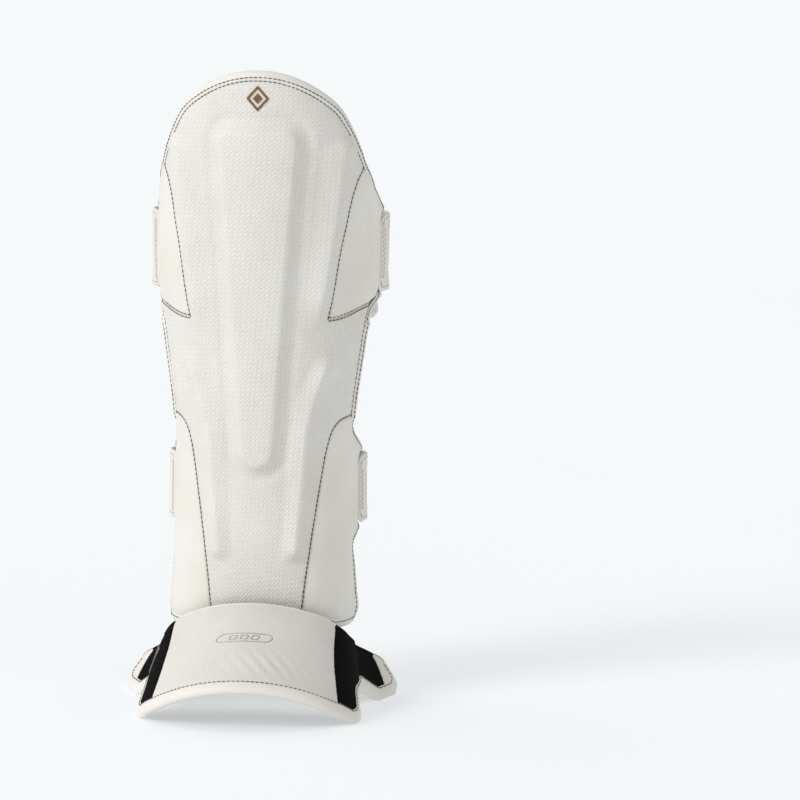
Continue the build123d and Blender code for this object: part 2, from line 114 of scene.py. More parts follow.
def rounded_loop(corners, step=0.5):
    """A closed line through (p, q, radius) corners, sampled densely, with its corners rounded."""
    line = []
    count = len(corners)
    for i, (p, q, radius) in enumerate(corners):
        corner = np.array((p, q), float)
        before = np.array(corners[i - 1][:2], float) - corner
        after = np.array(corners[(i + 1) % count][:2], float) - corner
        before /= np.linalg.norm(before)
        after /= np.linalg.norm(after)
        if not radius:
            line.append(corner)
            continue
        opening = acos(np.clip(before @ after, -1, 1))
        reach = radius / tan(opening / 2)
        middle = before + after
        centre = corner + middle / np.linalg.norm(middle) * radius / sin(opening / 2)
        start, end = corner + before * reach, corner + after * reach
        steps = max(3, int(radius * (pi - opening) / step))
        for k in range(steps + 1):
            on_chord = start + (end - start) * k / steps - centre
            line.append(centre + on_chord / np.linalg.norm(on_chord) * radius)
    return resample(np.array(line + [line[0]]), step)


def resample(line, step):
    """The same line with points at even distances."""
    lengths = np.concatenate(([0], np.cumsum(np.linalg.norm(np.diff(line, axis=0), axis=1))))
    count = max(2, int(round(lengths[-1] / step)) + 1)
    at = np.linspace(0, lengths[-1], count)
    return np.stack([np.interp(at, lengths, line[:, i]) for i in range(line.shape[1])], 1)


def curve(points, step=1.5):
    """A smooth line through a few points."""
    points = np.array(points, float)
    ends = np.vstack([2 * points[0] - points[1], points, 2 * points[-1] - points[-2]])
    line = []
    for a, b, c, d in zip(ends, ends[1:], ends[2:], ends[3:]):
        for t in np.linspace(0, 1, 12, endpoint=False):
            bend = (2 * a - 5 * b + 4 * c - d) * t**2 + (3 * b - a - 3 * c + d) * t**3
            line.append(0.5 * (2 * b + (c - a) * t + bend))
    line.append(points[-1])
    return resample(np.array(line), step)


def mirrored(line):
    return line[::-1] * np.array((-1.0, 1.0))


def inside(points, loop):
    """Whether each (u, v) point lies inside a closed loop."""
    x, y = points.T
    result = np.zeros(len(points), bool)
    for (x0, y0), (x1, y1) in zip(loop, np.roll(loop, -1, axis=0)):
        if y0 != y1:
            result ^= ((y0 > y) != (y1 > y)) & (x < (x1 - x0) * (y - y0) / (y1 - y0) + x0)
    return result


def distances(points, lines):
    """How far each (u, v) point is from the nearest line."""
    dense = np.vstack([resample(line, 0.4) for line in lines])
    tree = kdtree.KDTree(len(dense))
    for i, (u, v) in enumerate(dense):
        tree.insert((u, v, 0), i)
    tree.balance()
    return np.array([tree.find((u, v, 0))[2] for u, v in points])


def inward(loop, distance):
    """A closed counter-clockwise or clockwise loop moved in by a distance."""
    ahead = np.roll(loop, -1, axis=0) - np.roll(loop, 1, axis=0)
    side = np.stack([-ahead[:, 1], ahead[:, 0]], 1) / np.linalg.norm(ahead, axis=1)[:, None]
    area = np.sum(loop[:, 0] * np.roll(loop[:, 1], -1) - np.roll(loop[:, 0], -1) * loop[:, 1])
    return loop + side * distance * np.sign(area)


# ---- The two surfaces that everything lies on ----
# u of the shin shell's back edge at each height, and how far its edge turns out there.
EDGE_V = (54, 104, 112, 118, 180, 192, 202, 270, 278, 283, 352, 500)
EDGE_U = (118, 114, 120, 143, 143, 120, 104, 104, 120, 145, 143, 143)
LIP_V = (50, 60, 98, 112, 190, 206, 266, 277, 283, 300)
LIP_REACH = (2.0, 3.4, 3.4, 0.0, 0.0, 3.8, 3.8, 4.6, 3.0, 0.0)
LIP_WIDTH = 9.0
# Where a pulled strap narrows the wings: heights where it starts, is full, starts to fade and ends.
PINCH_SPANS = ((284.0, 292.0, 342.0, 350.0), (117.0, 125.0, 168.0, 176.0))
PINCH_RIGHT, PINCH_LEFT = 4.2, 2.2
SPREAD_START = 2.0          # length over which a side wall turns into its sideways spread


def shin_base(u, v):
    u, v = np.broadcast_arrays(np.asarray(u, float), np.asarray(v, float))
    turn = np.clip(u / SHIN_QUARTER, -1, 1) * pi / 2
    behind = np.maximum(np.abs(u) - SHIN_QUARTER, 0)
    lip = np.interp(v, LIP_V, LIP_REACH) * ramp(np.abs(u) - np.interp(v, EDGE_V, EDGE_U), -LIP_WIDTH, 2)
    pulled = sum(
        ramp(v, low, full) * (1 - ramp(v, fading, high)) for low, full, fading, high in PINCH_SPANS
    )
    pinch = pulled * np.where(u > 0, PINCH_RIGHT, PINCH_LEFT) * ramp(behind, 12, 31)
    spread = WING_SPREAD * behind**2 / (behind + SPREAD_START)
    x = half_width(v) * np.sin(turn) + np.sign(u) * (spread + lip - pinch)
    return np.stack([x, behind - depth(v) * np.cos(turn), v], -1)


FOOT_FITS = [np.polyfit(FOOT_SECTIONS[:, 0], FOOT_SECTIONS[:, i], 3) for i in (1, 2, 3)]
LEFT_FLARE = 4.0            # how much further the left wing of the instep stands out than the right
FOOT_ALONG = np.array((0.0, -cos(FOOT_SLOPE), -sin(FOOT_SLOPE)))
FOOT_UP = np.array((0.0, -sin(FOOT_SLOPE), cos(FOOT_SLOPE)))


def foot_base(u, v):
    u, v = np.broadcast_arrays(np.asarray(u, float), np.asarray(v, float))
    width, height, spread = (np.polyval(fit, v) for fit in FOOT_FITS)
    turn = np.clip(u / FOOT_QUARTER, -1, 1) * pi / 2
    below = np.maximum(np.abs(u) - FOOT_QUARTER, 0)
    flare = LEFT_FLARE * ramp(below, 0, 55) * (u < 0)
    x = width * np.sin(turn) + np.sign(u) * (spread * below**2 / (below + SPREAD_START) + flare)
    up = -height * (1 - np.cos(turn)) - below
    place = FOOT_CROWN + v[..., None] * FOOT_ALONG + up[..., None] * FOOT_UP
    return place + x[..., None] * np.array((1.0, 0.0, 0.0))


class Surface:
    """A curved surface with a height above it. facing is -1 where its u and v axes turn inward."""

    def __init__(self, base, facing):
        self.base = base
        self.facing = facing

    def normal(self, u, v):
        across = self.base(u + 0.5, v) - self.base(u - 0.5, v)
        along = self.base(u, v + 0.5) - self.base(u, v - 0.5)
        normal = np.cross(across, along) * self.facing
        return normal / np.linalg.norm(normal, axis=-1)[..., None]

    def at(self, u, v, height):
        return self.base(u, v) + self.normal(u, v) * np.asarray(height)[..., None]


SHIN = Surface(shin_base, 1)
FOOT = Surface(foot_base, -1)


def shin_from_side(y, z):
    """u of the point of the shin's right half that a side view shows at (y, z)."""
    ratio = np.clip(-y / depth(z), -1, 1)
    return np.where(y < 0, SHIN_QUARTER * np.arccos(ratio) / (pi / 2), SHIN_QUARTER + y)


def shin_from_front(x, z):
    """u of the point of the shin's front that a front view shows at (x, z)."""
    return SHIN_QUARTER * np.arcsin(np.clip(np.asarray(x, float) / half_width(z), -1, 1)) / (pi / 2)


def foot_from_side(y, z):
    """(u, v) of the point of the instep's right half that a side view shows at (y, z)."""
    place = np.stack([y * 0, y, z], -1) - FOOT_CROWN
    v, up = place @ FOOT_ALONG, place @ FOOT_UP
    height = np.polyval(FOOT_FITS[1], v)
    turn = np.arccos(np.clip(1 + up / height, 0, 1))
    return np.where(up > -height, FOOT_QUARTER * turn / (pi / 2), FOOT_QUARTER - height - up), v, up


def foot_from_above(x, y):
    """(u, v) of the point of the instep's right half below (x, y)."""
    low, high = -20.0, 120.0
    for _ in range(40):
        z = (low + high) / 2
        u, v, up = foot_from_side(np.array(float(y)), np.array(z))
        outside = up > 0 or foot_base(u, v)[0] < x
        low, high = (low, z) if outside else (z, high)
    return float(u), float(v)


# ---- Outlines and seams, as (u, v) lines ----
def half_to_loop(half):
    """A closed loop from the half that runs down the right side, from ridge to ridge."""
    half = resample(half, 1.5)
    half[0, 0] = half[-1, 0] = 0.0
    return np.vstack([half, mirrored(half)[1:-1]])


def shin_half():
    side = rounded_loop(SHIN_OUTLINE, 0.3)
    side = side[side[:, 0] > -depth(side[:, 1])]
    start = np.argmax(np.linalg.norm(np.diff(side, axis=0, prepend=side[-1:]), axis=1))
    side = np.roll(side, -start, axis=0)
    half = np.stack([shin_from_side(side[:, 0], side[:, 1]), side[:, 1]], 1)
    return half if half[0, 1] > half[-1, 1] else half[::-1]


def foot_half():
    side = rounded_loop(FOOT_OUTLINE, 0.3)
    u, v, up = foot_from_side(side[:, 0], side[:, 1])
    keep = up < 0
    side, half = side[keep], np.stack([u, v], 1)[keep]
    start = np.argmax(np.linalg.norm(np.diff(side, axis=0, prepend=side[-1:]), axis=1))
    half = np.roll(half, -start, axis=0)
    return half if half[0, 1] < half[-1, 1] else half[::-1]


SHIN_LOOP = half_to_loop(shin_half())
FOOT_HALF = foot_half()
FOOT_LOOP = half_to_loop(FOOT_HALF)
SHIN_PANEL_LOOP = inward(SHIN_LOOP, 2.5)
FOOT_PANEL_LOOP = inward(FOOT_LOOP, 2.0)

UPPER_SEAM = ((49, 278), (56, 322), (60.5, 345), (64, 362), (68.5, 377), (73.5, 388))
UPPER_HEM = ((49, 278), (56, 278.5), (64, 281), (70, 283.5))
LOWER_SEAM = (
    (32, 40), (33.4, 74), (38.7, 119), (44, 157), (46.5, 174),
    (49.2, 188), (52.5, 198), (57.5, 203.5), (63, 205),
)


def seam_line(points, tail):
    """A seam given by its front view, and continued round the side by (u, v) points."""
    front = [(float(shin_from_front(x, z)), z) for x, z in points]
    return curve(front + list(tail))


upper_seam = seam_line(UPPER_SEAM, ((100, 396),))
upper_hem = seam_line(UPPER_HEM, ((110, 284.5), (150, 287)))
lower_seam = seam_line(LOWER_SEAM, ((100, 206.5), (125, 207)))
upper_cover_loop = np.vstack([upper_seam[::-1], upper_hem[1:], ((170, 287), (170, 396))])
lower_cover_loop = np.vstack([lower_seam, ((170, 207), (170, 30))])

COVER_EDGE = ((56, -20), (57, -38), (58, -70), (60, -95), (65, -122), (69, -140))
cover_seam = curve([foot_from_above(x, y) for x, y in COVER_EDGE])
top_end = cover_seam[0] + (cover_seam[0] - cover_seam[1]) * 20
hem_end = cover_seam[-1] + (cover_seam[-1] - cover_seam[-2]) * 30
cover_seam = resample(np.vstack([[top_end], cover_seam, [hem_end]]), 1.5)
instep_cover_loop = np.vstack([cover_seam, mirrored(cover_seam)])
wing_points = np.array([(17, 60), (12, 46), (6, 29), (0, 12), (-6, -6)], float)
wing_u, wing_v, _ = foot_from_side(wing_points[:, 0], wing_points[:, 1])
wing_seam = curve(np.stack([wing_u, wing_v], 1))
wing_loop = np.vstack([wing_seam, ((260, wing_seam[-1, 1]), (260, -120), (wing_seam[0, 0], -120))])


# ---- Flat triangulations of a surface ----
def triangulate(loop, seams, spacing, fine=()):
    """(u, v) points and triangles inside a loop, with edges along it and along its seams.
    fine holds ((low u, high u, low v, high v), spacing) boxes of closer points."""
    lines = [np.vstack([loop, loop[:1]])] + list(seams)
    points, edges = [], []
    for index, line in enumerate(lines):
        row = line[:-1] if index == 0 else line
        first = len(points)
        points += [tuple(p) for p in row]
        edges += [(first + i, first + i + 1) for i in range(len(row) - 1)]
        if index == 0:
            edges.append((first + len(row) - 1, first))
    rows = []
    for line in lines:
        ahead = np.gradient(line, axis=0)
        lengths = np.maximum(np.linalg.norm(ahead, axis=1), 1e-9)
        side = np.stack([-ahead[:, 1], ahead[:, 0]], 1) / lengths[:, None]
        for away in (0.7, 1.6):
            if away < spacing * 0.8:
                rows += [(line + side * s * away, away) for s in (-1, 1)]
    for row, away in rows:
        row = row[inside(row, loop)]
        if len(row):
            points += [tuple(p) for p in row[distances(row, lines) > away * 0.85]]
    low, high = loop.min(0), loop.max(0)
    across = np.arange(low[0], high[0], spacing)
    down = np.arange(low[1], high[1], spacing * 0.866)
    grid = np.array([(u + spacing / 2 * (j % 2), v) for j, v in enumerate(down) for u in across])
    for (u0, u1, v0, v1), closer in fine:
        box = (grid[:, 0] > u0) & (grid[:, 0] < u1) & (grid[:, 1] > v0) & (grid[:, 1] < v1)
        dense = [(u, v) for u in np.arange(u0, u1, closer) for v in np.arange(v0, v1, closer)]
        grid = np.vstack([grid[~box], dense])
    grid = grid[inside(grid, loop)]
    clear = (1.6 if spacing > 2 else 0) + spacing * 0.55
    points += [tuple(p) for p in grid[distances(grid, lines) > clear]]
    found = delaunay_2d_cdt([Vector(p) for p in points], edges, [], 0, 1e-4, False)
    flat = np.array([tuple(p) for p in found[0]])
    triangles = np.array([face for face in found[2] if len(face) == 3])
    middles = flat[triangles].mean(1)
    return flat, triangles[inside(middles, loop)]


# ---- Meshes ----
SETTLED = 0.6               # below this height a piece is pressed flat against the floor


def make_piece(name, vertices, faces, material, uv=None, sharp=60):
    """A mesh object from millimetre vertices. uv gives each vertex's surface coordinates, in metres."""
    mesh = bpy.data.meshes.new(name)
    vertices = np.array(vertices, float)
    low = vertices[:, 2] < SETTLED
    vertices[low, 2] = SETTLED * np.exp(vertices[low, 2] / SETTLED - 1)
    mesh.from_pydata([tuple(v) for v in vertices * MM], [], [tuple(map(int, f)) for f in faces])
    if uv is not None:
        layer = mesh.uv_layers.new(name="surface")
        corners = np.zeros(len(mesh.loops), int)
        mesh.loops.foreach_get("vertex_index", corners)
        layer.data.foreach_set("uv", (np.asarray(uv) * MM)[corners].astype(np.float32).ravel())
    mesh.polygons.foreach_set("use_smooth", [True] * len(mesh.polygons))
    mesh.set_sharp_from_angle(angle=radians(sharp))
    mesh.materials.append(material)
    piece = bpy.data.objects.new(name, mesh)
    bpy.context.scene.collection.objects.link(piece)
    return piece


def slab(name, surface, flat, triangles, outer, inner, material, sharp=60):
    """A closed sheet over some triangles, between an outer and an inner height at each point."""
    used, faces = np.unique(triangles, return_inverse=True)
    faces = faces.reshape(-1, 3)
    flat = flat[used]
    u, v = flat.T
    top = surface.at(u, v, outer[used])
    bottom = surface.at(u, v, inner[used])
    if surface.facing < 0:
        faces = faces[:, ::-1]
    count = len(flat)
    directed = {(int(a), int(b)) for f in faces for a, b in ((f[0], f[1]), (f[1], f[2]), (f[2], f[0]))}
    rims = [(b, a, a + count, b + count) for a, b in directed if (b, a) not in directed]
    every = [tuple(f) for f in faces] + [tuple(f[::-1] + count) for f in faces] + rims
    return make_piece(name, np.vstack([top, bottom]), every, material, np.vstack([flat, flat]), sharp)


def finish_piece(piece, body, replaced=()):
    if replaced:
        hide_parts(*replaced)
    if isinstance(body, str):
        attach(piece, body)
    else:
        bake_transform(piece)
    return piece


def tube_faces(rings, sides, closed_rings):
    """Faces between successive rings of points, and end caps where the run of rings is open."""
    faces = []
    for i in range(rings if closed_rings else rings - 1):
        a, b = i * sides, ((i + 1) % rings) * sides
        faces += [(a + k, a + (k + 1) % sides, b + (k + 1) % sides, b + k) for k in range(sides)]
    if not closed_rings:
        faces += [tuple(range(sides))[::-1], tuple(range((rings - 1) * sides, rings * sides))]
    return faces


def tape(name, surface, line, closed, width, rim, material, proud=0.9, wall=1.3, seed=1.0):
    """Binding tape folded over an edge, which has its inside on the left. rim is the edge's thickness."""
    ahead = np.gradient(line, axis=0)
    if closed:
        ahead = np.roll(line, -1, axis=0) - np.roll(line, 1, axis=0)
    side = np.stack([-ahead[:, 1], ahead[:, 0]], 1) / np.linalg.norm(ahead, axis=1)[:, None]
    radius = (rim + proud) / 2
    middle = proud - radius
    outer = [(width, proud - 0.45), (width - 0.5, proud), (width * 0.6, proud + 0.25)]
    turn = [(radius * (1 - cos(t)), middle + radius * sin(t)) for t in np.linspace(pi / 2, -pi / 2, 11)]
    under = middle - radius
    inner = [(width * 0.6, under), (width - 0.5, under + 0.1), (width, under + 0.5)]
    fold = outer + [p for p in turn if p[0] < width * 0.6] + inner
    small = radius - wall
    back_turn = [
        (radius - small * cos(t), middle + small * sin(t)) for t in np.linspace(-pi / 2, pi / 2, 9)
    ]
    back = [(width, middle - small)] + [p for p in back_turn if p[0] < width] + [(width, middle + small)]
    profile = np.array(fold + back)
    lift = soft_noise(line, 9.0, seed)
    vertices, uv = [], []
    for (u, v), (su, sv), bump in zip(line, side, lift):
        puffed = profile[:, 1] + 0.22 * bump * (profile[:, 1] > middle)
        vertices.append(surface.at(u + su * profile[:, 0], v + sv * profile[:, 0], puffed))
        uv.append(np.stack([u + su * profile[:, 0], v + sv * profile[:, 0]], 1))
    sides = len(profile)
    faces = tube_faces(len(line), sides, closed)
    if surface.facing < 0:
        faces = [f[::-1] for f in faces]
    return make_piece(name, np.vstack(vertices), faces, material, np.vstack(uv))


# Rings along one stitch: place along it, size and rise.
STITCH_RINGS = (
    (-0.5, 0.45, -0.16), (-0.34, 1.0, 0.06), (0.0, 1.05, 0.14), (0.34, 1.0, 0.06), (0.5, 0.45, -0.16),
)


def stitches(name, runs, material, length=2.9, gap=0.5, radius=0.33):
    """Thread dashes along runs. A run is (places, normals): 3-D points along a line on a surface."""
    vertices, faces = [], []
    for places, normals in runs:
        both = resample(np.hstack([places, normals]), 0.5)
        lengths = np.concatenate(([0], np.cumsum(np.linalg.norm(np.diff(both[:, :3], axis=0), axis=1))))
        count = int(lengths[-1] // (length + gap))
        for k in range(count):
            start = (k + 0.5) * lengths[-1] / count - length / 2
            ends = [
                np.array([np.interp(place, lengths, both[:, i]) for i in range(6)])
                for place in (start, start + length)
            ]
            middle = (ends[0] + ends[1]) / 2
            along = ends[1][:3] - ends[0][:3]
            up = middle[3:] / np.linalg.norm(middle[3:])
            across = np.cross(up, along / np.linalg.norm(along))
            first = len(vertices)
            for share, size, rise in STITCH_RINGS:
                for t in np.arange(6) * pi / 3:
                    ring = (across * cos(t) + up * sin(t)) * radius * size
                    vertices.append(middle[:3] + along * share + up * rise + ring)
            faces += [tuple(i + first for i in f) for f in tube_faces(len(STITCH_RINGS), 6, False)]
    return make_piece(name, np.array(vertices), faces, material)


def run_on(surface, line, height):
    """A stitch run along a (u, v) line at a height."""
    u, v = line.T
    return surface.at(u, v, np.full(len(u), float(height))), surface.normal(u, v)


# ---- Materials ----
def linear(red, green, blue):
    """An sRGB colour from 0 to 255, as linear RGBA."""
    values = [c / 255 for c in (red, green, blue)]
    return [c / 12.92 if c <= 0.04045 else ((c + 0.055) / 1.055) ** 2.4 for c in values] + [1.0]


class Finish:
    """A node material round one Principled shader."""

    def __init__(self, name, roughness, **sockets):
        self.material = bpy.data.materials.new(name)
        self.material.use_nodes = True
        self.tree = self.material.node_tree
        self.shader = self.tree.nodes["Principled BSDF"]
        self.shader.inputs["Roughness"].default_value = roughness
        for socket, value in sockets.items():
            self.shader.inputs[socket.replace("_", " ")].default_value = value
        self.coordinates = self.add("TexCoord")
        self.heights = []

    def add(self, kind, **settings):
        node = self.tree.nodes.new("ShaderNode" + kind)
        for key, value in settings.items():
            setattr(node, key, value)
        return node

    def join(self, source, target):
        self.tree.links.new(source, target)

    def surface_uv(self, turn=0.0, stretch=(1.0, 1.0)):
        """Surface coordinates in millimetres, turned and stretched."""
        mapping = self.add("Mapping")
        mapping.inputs["Scale"].default_value = (1000 * stretch[0], 1000 * stretch[1], 1)
        mapping.inputs["Rotation"].default_value = (0, 0, turn)
        self.join(self.coordinates.outputs["UV"], mapping.inputs["Vector"])
        return mapping.outputs["Vector"]

    def noise(self, size, detail=3.0, roughness=0.5):
        """Noise with lumps of a size in metres."""
        node = self.add("TexNoise")
        node.inputs["Scale"].default_value = 1 / size
        node.inputs["Detail"].default_value = detail
        node.inputs["Roughness"].default_value = roughness
        self.join(self.coordinates.outputs["Object"], node.inputs["Vector"])
        return node.outputs["Fac"]

    def spread(self, value, low, high, start=0.3, end=0.7):
        """A value mapped from start-end to low-high."""
        node = self.add("MapRange")
        for socket, number in (("From Min", start), ("From Max", end), ("To Min", low), ("To Max", high)):
            node.inputs[socket].default_value = number
        self.join(value, node.inputs["Value"])
        return node.outputs["Result"]

    def blend_colours(self, factor, first, second):
        node = self.add("Mix", data_type="RGBA")
        self.join(factor, node.inputs[0])
        for socket, colour in ((6, first), (7, second)):
            if isinstance(colour, list):
                node.inputs[socket].default_value = colour
            else:
                self.join(colour, node.inputs[socket])
        return node.outputs[2]

    def colour(self, output):
        self.join(output, self.shader.inputs["Base Color"])

    def bump(self, height, distance, strength=1.0):
        """Adds a relief of that depth in metres on top of those before it."""
        node = self.add("Bump")
        node.inputs["Strength"].default_value = strength
        node.inputs["Distance"].default_value = distance
        self.join(height, node.inputs["Height"])
        if self.heights:
            self.join(self.heights[-1], node.inputs["Normal"])
        self.heights.append(node.outputs["Normal"])
        self.join(node.outputs["Normal"], self.shader.inputs["Normal"])

    def bricks(self, vector, width, row, gap, smooth=0.6):
        """How far a point is from the gaps of a brick pattern, 1 inside a brick."""
        node = self.add("TexBrick")
        sockets = ("Scale", "Brick Width", "Row Height", "Mortar Size", "Mortar Smooth")
        for socket, number in zip(sockets, (1.0, width, row, gap, smooth)):
            node.inputs[socket].default_value = number
        self.join(vector, node.inputs["Vector"])
        return self.spread(node.outputs["Fac"], 1.0, 0.0, 0.0, 1.0)


def leather(name, pale, deep, embossed=0.0, roughness=0.5):
    """Satin synthetic leather with fine grain. embossed is the depth of its diagonal dashes, in metres."""
    finish = Finish(name, roughness, Specular_IOR_Level=0.4)
    patches = finish.spread(finish.noise(0.05, 4.0), 0.0, 1.0)
    finish.colour(finish.blend_colours(patches, linear(*pale), linear(*deep)))
    worn = finish.spread(finish.noise(0.02), roughness - 0.06, roughness + 0.06)
    finish.join(worn, finish.shader.inputs["Roughness"])
    if embossed:
        dashes = finish.bricks(finish.surface_uv(turn=radians(-45)), 5.2, 2.2, 0.5)
        finish.bump(dashes, embossed)
    pores = finish.add("TexVoronoi", feature="DISTANCE_TO_EDGE")
    pores.inputs["Scale"].default_value = 1100.0
    finish.join(finish.coordinates.outputs["Object"], pores.inputs["Vector"])
    finish.bump(finish.spread(pores.outputs["Distance"], 0.0, 1.0, 0.0, 0.25), 0.00004)
    finish.bump(finish.noise(0.004, 4.0), 0.00018)
    return finish.material


def textile(
    name, pale, deep, width=1.0, row=0.7, turn=0.0, depth=0.00012, roughness=0.85, sheen=0.25, specular=0.25
):
    """Woven or knitted cloth. width and row are the size of its threads, in millimetres."""
    finish = Finish(name, roughness, Sheen_Weight=sheen, Sheen_Roughness=0.5, Specular_IOR_Level=specular)
    threads = finish.bricks(finish.surface_uv(turn=turn), width, row, 0.12, 1.0)
    patches = finish.noise(0.012, 4.0)
    shade = finish.add("Math", operation="MULTIPLY")
    finish.join(threads, shade.inputs[0])
    finish.join(finish.spread(patches, 0.6, 1.0), shade.inputs[1])
    finish.colour(finish.blend_colours(shade.outputs[0], linear(*deep), linear(*pale)))
    finish.bump(threads, depth)
    finish.bump(finish.noise(0.0006, 2.0), 0.00006)
    return finish.material


def foam(name, pale, deep):
    finish = Finish(name, 0.9)
    cells = finish.spread(finish.noise(0.003), 0.0, 1.0)
    finish.colour(finish.blend_colours(cells, linear(*pale), linear(*deep)))
    finish.bump(finish.noise(0.0012, 4.0), 0.0003)
    return finish.material


panel_leather = leather(
    "embossed panel leather", (230, 228, 223), (223, 220, 213), embossed=0.00024, roughness=0.46
)
cover_leather = leather("smooth cover leather", (229, 227, 221), (222, 218, 209), roughness=0.44)
# The instep flap's leather: a darker copy of the white leather, with a lighter emboss of its own. Its
# darker colour is painted shade for a flap that faces up into the light.
shaded_instep_leather = leather(
    "instep leather with painted shade", (221, 219, 214), (213, 210, 204), embossed=0.0001, roughness=0.46
)
tape_leather = leather("binding leather", (231, 229, 223), (224, 221, 213), roughness=0.46)
strap_leather = leather("strap leather", (228, 226, 218), (218, 215, 206), roughness=0.5)
black_cloth = textile(
    "black stretch cloth", (17, 14, 15), (5, 4, 4), 1.1, 0.55, roughness=0.95, sheen=0.0, specular=0.06
)
lining_cloth = textile(
    "dark brushed lining", (58, 57, 57), (26, 25, 26), 0.8, 0.6, turn=radians(45), sheen=0.4
)
elastic_cloth = textile("ribbed elastic", (226, 224, 217), (176, 173, 164), 40.0, 1.1, depth=0.0003)
label_cloth = textile("woven label", (150, 144, 138), (84, 80, 77), 0.9, 0.5, turn=radians(45), sheen=0.1)
loop_cloth = textile(
    "looped pile", (222, 220, 213), (170, 167, 160), 0.7, 0.7, turn=radians(30), depth=0.0004, sheen=0.6
)
hook_tape = textile(
    "hook tape", (206, 204, 197), (128, 126, 120), 0.9, 0.9, depth=0.0005, roughness=0.5, sheen=0.0
)


def thread(name, pale, deep):
    return textile(name, pale, deep, 0.5, 0.3, turn=radians(30), roughness=0.7)


olive_thread = thread("olive thread", (98, 90, 68), (52, 46, 32))
pale_thread = thread("pale thread", (150, 146, 134), (96, 93, 84))
strap_thread = thread("strap thread", (196, 193, 182), (150, 146, 134))
# Grey for the tubes laid in the pressed mark's grooves: painted shade that darkens the grooves.
groove_shade_grey = textile(
    "painted groove shade", (168, 167, 165), (140, 139, 137), 0.5, 0.3, depth=0.00002, roughness=0.6, sheen=0.0
)
hard_foam = foam("hard foam", (70, 72, 76), (52, 54, 58))
soft_foam = foam("soft foam", (214, 208, 190), (190, 184, 166))


def bronze():
    finish = Finish("bronze foil", 0.36, Metallic=0.85)
    patches = finish.spread(finish.noise(0.002, 5.0), 0.0, 1.0)
    finish.colour(finish.blend_colours(patches, linear(150, 120, 86), linear(112, 86, 60)))
    finish.bump(finish.noise(0.0005), 0.00003)
    return finish.material


bronze_foil = bronze()

# ---- Shin: raised bars and edges that the outer panels take their relief from ----
TIBIA_ENDS = (168.0, 419.0)
TIBIA_HALF_WIDTHS = (15.0, 32.0)
RIBS = (
    ((279, 31.5, 41), (293, 32.5, 43), (345, 39, 51), (406, 45, 58)),
    ((108, 17, 25), (136, 19, 27), (168, 19.5, 30), (196, 22, 31.5), (222, 26.5, 37), (250, 40, 47)),
)
RIB_FADES = ((266, 296, 399, 409), (103, 113, 238, 257))


def front_x(u, v):
    return half_width(v) * np.sin(np.clip(np.abs(u) / SHIN_QUARTER, 0, 1) * pi / 2)


def shin_relief(u, v):
    """Height of the moulded bars: a broad tibia bar, its grooves, and a sharper rib on each side."""
    x = front_x(u, v)
    share = (v - TIBIA_ENDS[0]) / (405 - TIBIA_ENDS[0])
    edge = TIBIA_HALF_WIDTHS[0] + (TIBIA_HALF_WIDTHS[1] - TIBIA_HALF_WIDTHS[0]) * share - x
    end = np.minimum(TIBIA_ENDS[1] - v, v - TIBIA_ENDS[0])
    corner = 15.0
    rounded = corner - np.hypot(corner - edge, corner - end)
    within = np.where((edge < corner) & (end < corner), rounded, np.minimum(edge, end))
    height = 5.0 * ramp(within, -0.8, 8.0) - 1.1 * ramp(within, -9, -4) * (1 - ramp(within, -3.5, 0.5))
    for rib, (start, full, fading, gone) in zip(RIBS, RIB_FADES):
        heights, feet, crests = (np.array(column, float) for column in zip(*rib))
        foot, crest = np.interp(v, heights, feet), np.interp(v, heights, crests)
        rise = np.clip((x - foot) / (crest - foot), 0, 1)
        fall = 1 - ramp(x, crest, crest + 13)
        height = height + 4.4 * rise**1.3 * fall * ramp(v, start, full) * (1 - ramp(v, fading, gone))
    return height


def edge_roll(distance, radius, drop):
    """How far a panel rolls down, at a distance from its own edge."""
    t = np.clip(1 - distance / radius, 0, 1)
    return -drop * (1 - np.sqrt(1 - t * t * 0.999))


def shin_edge_drop(to_outline):
    return -2.0 * (1 - ramp(to_outline, 0, 14))


shin_seams = [upper_seam, upper_hem, lower_seam]
shin_seams += [mirrored(seam) for seam in shin_seams]


def trimmed(line, loop):
    """The run of a line inside a loop, with one point more at each end so that it crosses the loop."""
    kept = np.flatnonzero(inside(line, loop))
    return line[max(kept[0] - 1, 0) : kept[-1] + 2]


shin_seams = [trimmed(seam, SHIN_PANEL_LOOP) for seam in shin_seams]
flat, triangles = triangulate(SHIN_PANEL_LOOP, shin_seams, 1.9)
u, v = flat.T
to_outline = distances(flat, [np.vstack([SHIN_LOOP, SHIN_LOOP[:1]])])
to_seam = distances(flat, shin_seams)
wrinkles = 0.22 * soft_noise(flat, 16.0, 3.0) + 0.10 * soft_noise(flat, 5.0, 7.0)
outer = shin_relief(u, v) + shin_edge_drop(to_outline) + edge_roll(to_seam, 2.0, 1.2) + wrinkles
middles = flat[triangles].mean(1)
COVERS = {
    "upper_right_cover": upper_cover_loop, "upper_left_cover": mirrored(upper_cover_loop),
    "lower_right_cover": lower_cover_loop, "lower_left_cover": mirrored(lower_cover_loop),
}
LEATHER = 1.5               # thickness of the shin's outer leather
taken = np.zeros(len(triangles), bool)
for cover_name, loop in COVERS.items():
    within = inside(middles, loop)
    taken |= within
    padded = outer + 0.8 * ramp(np.minimum(to_seam, to_outline), 0, 10)
    cover = slab(
        f"{cover_name}_leather", SHIN, flat, triangles[within], padded, padded - LEATHER, cover_leather
    )
    finish_piece(cover, "shin", (cover_name,))
panel = slab("shin_center_leather", SHIN, flat, triangles[~taken], outer, outer - LEATHER, panel_leather)
finish_piece(panel, "shin", ("shin_center_panel",))

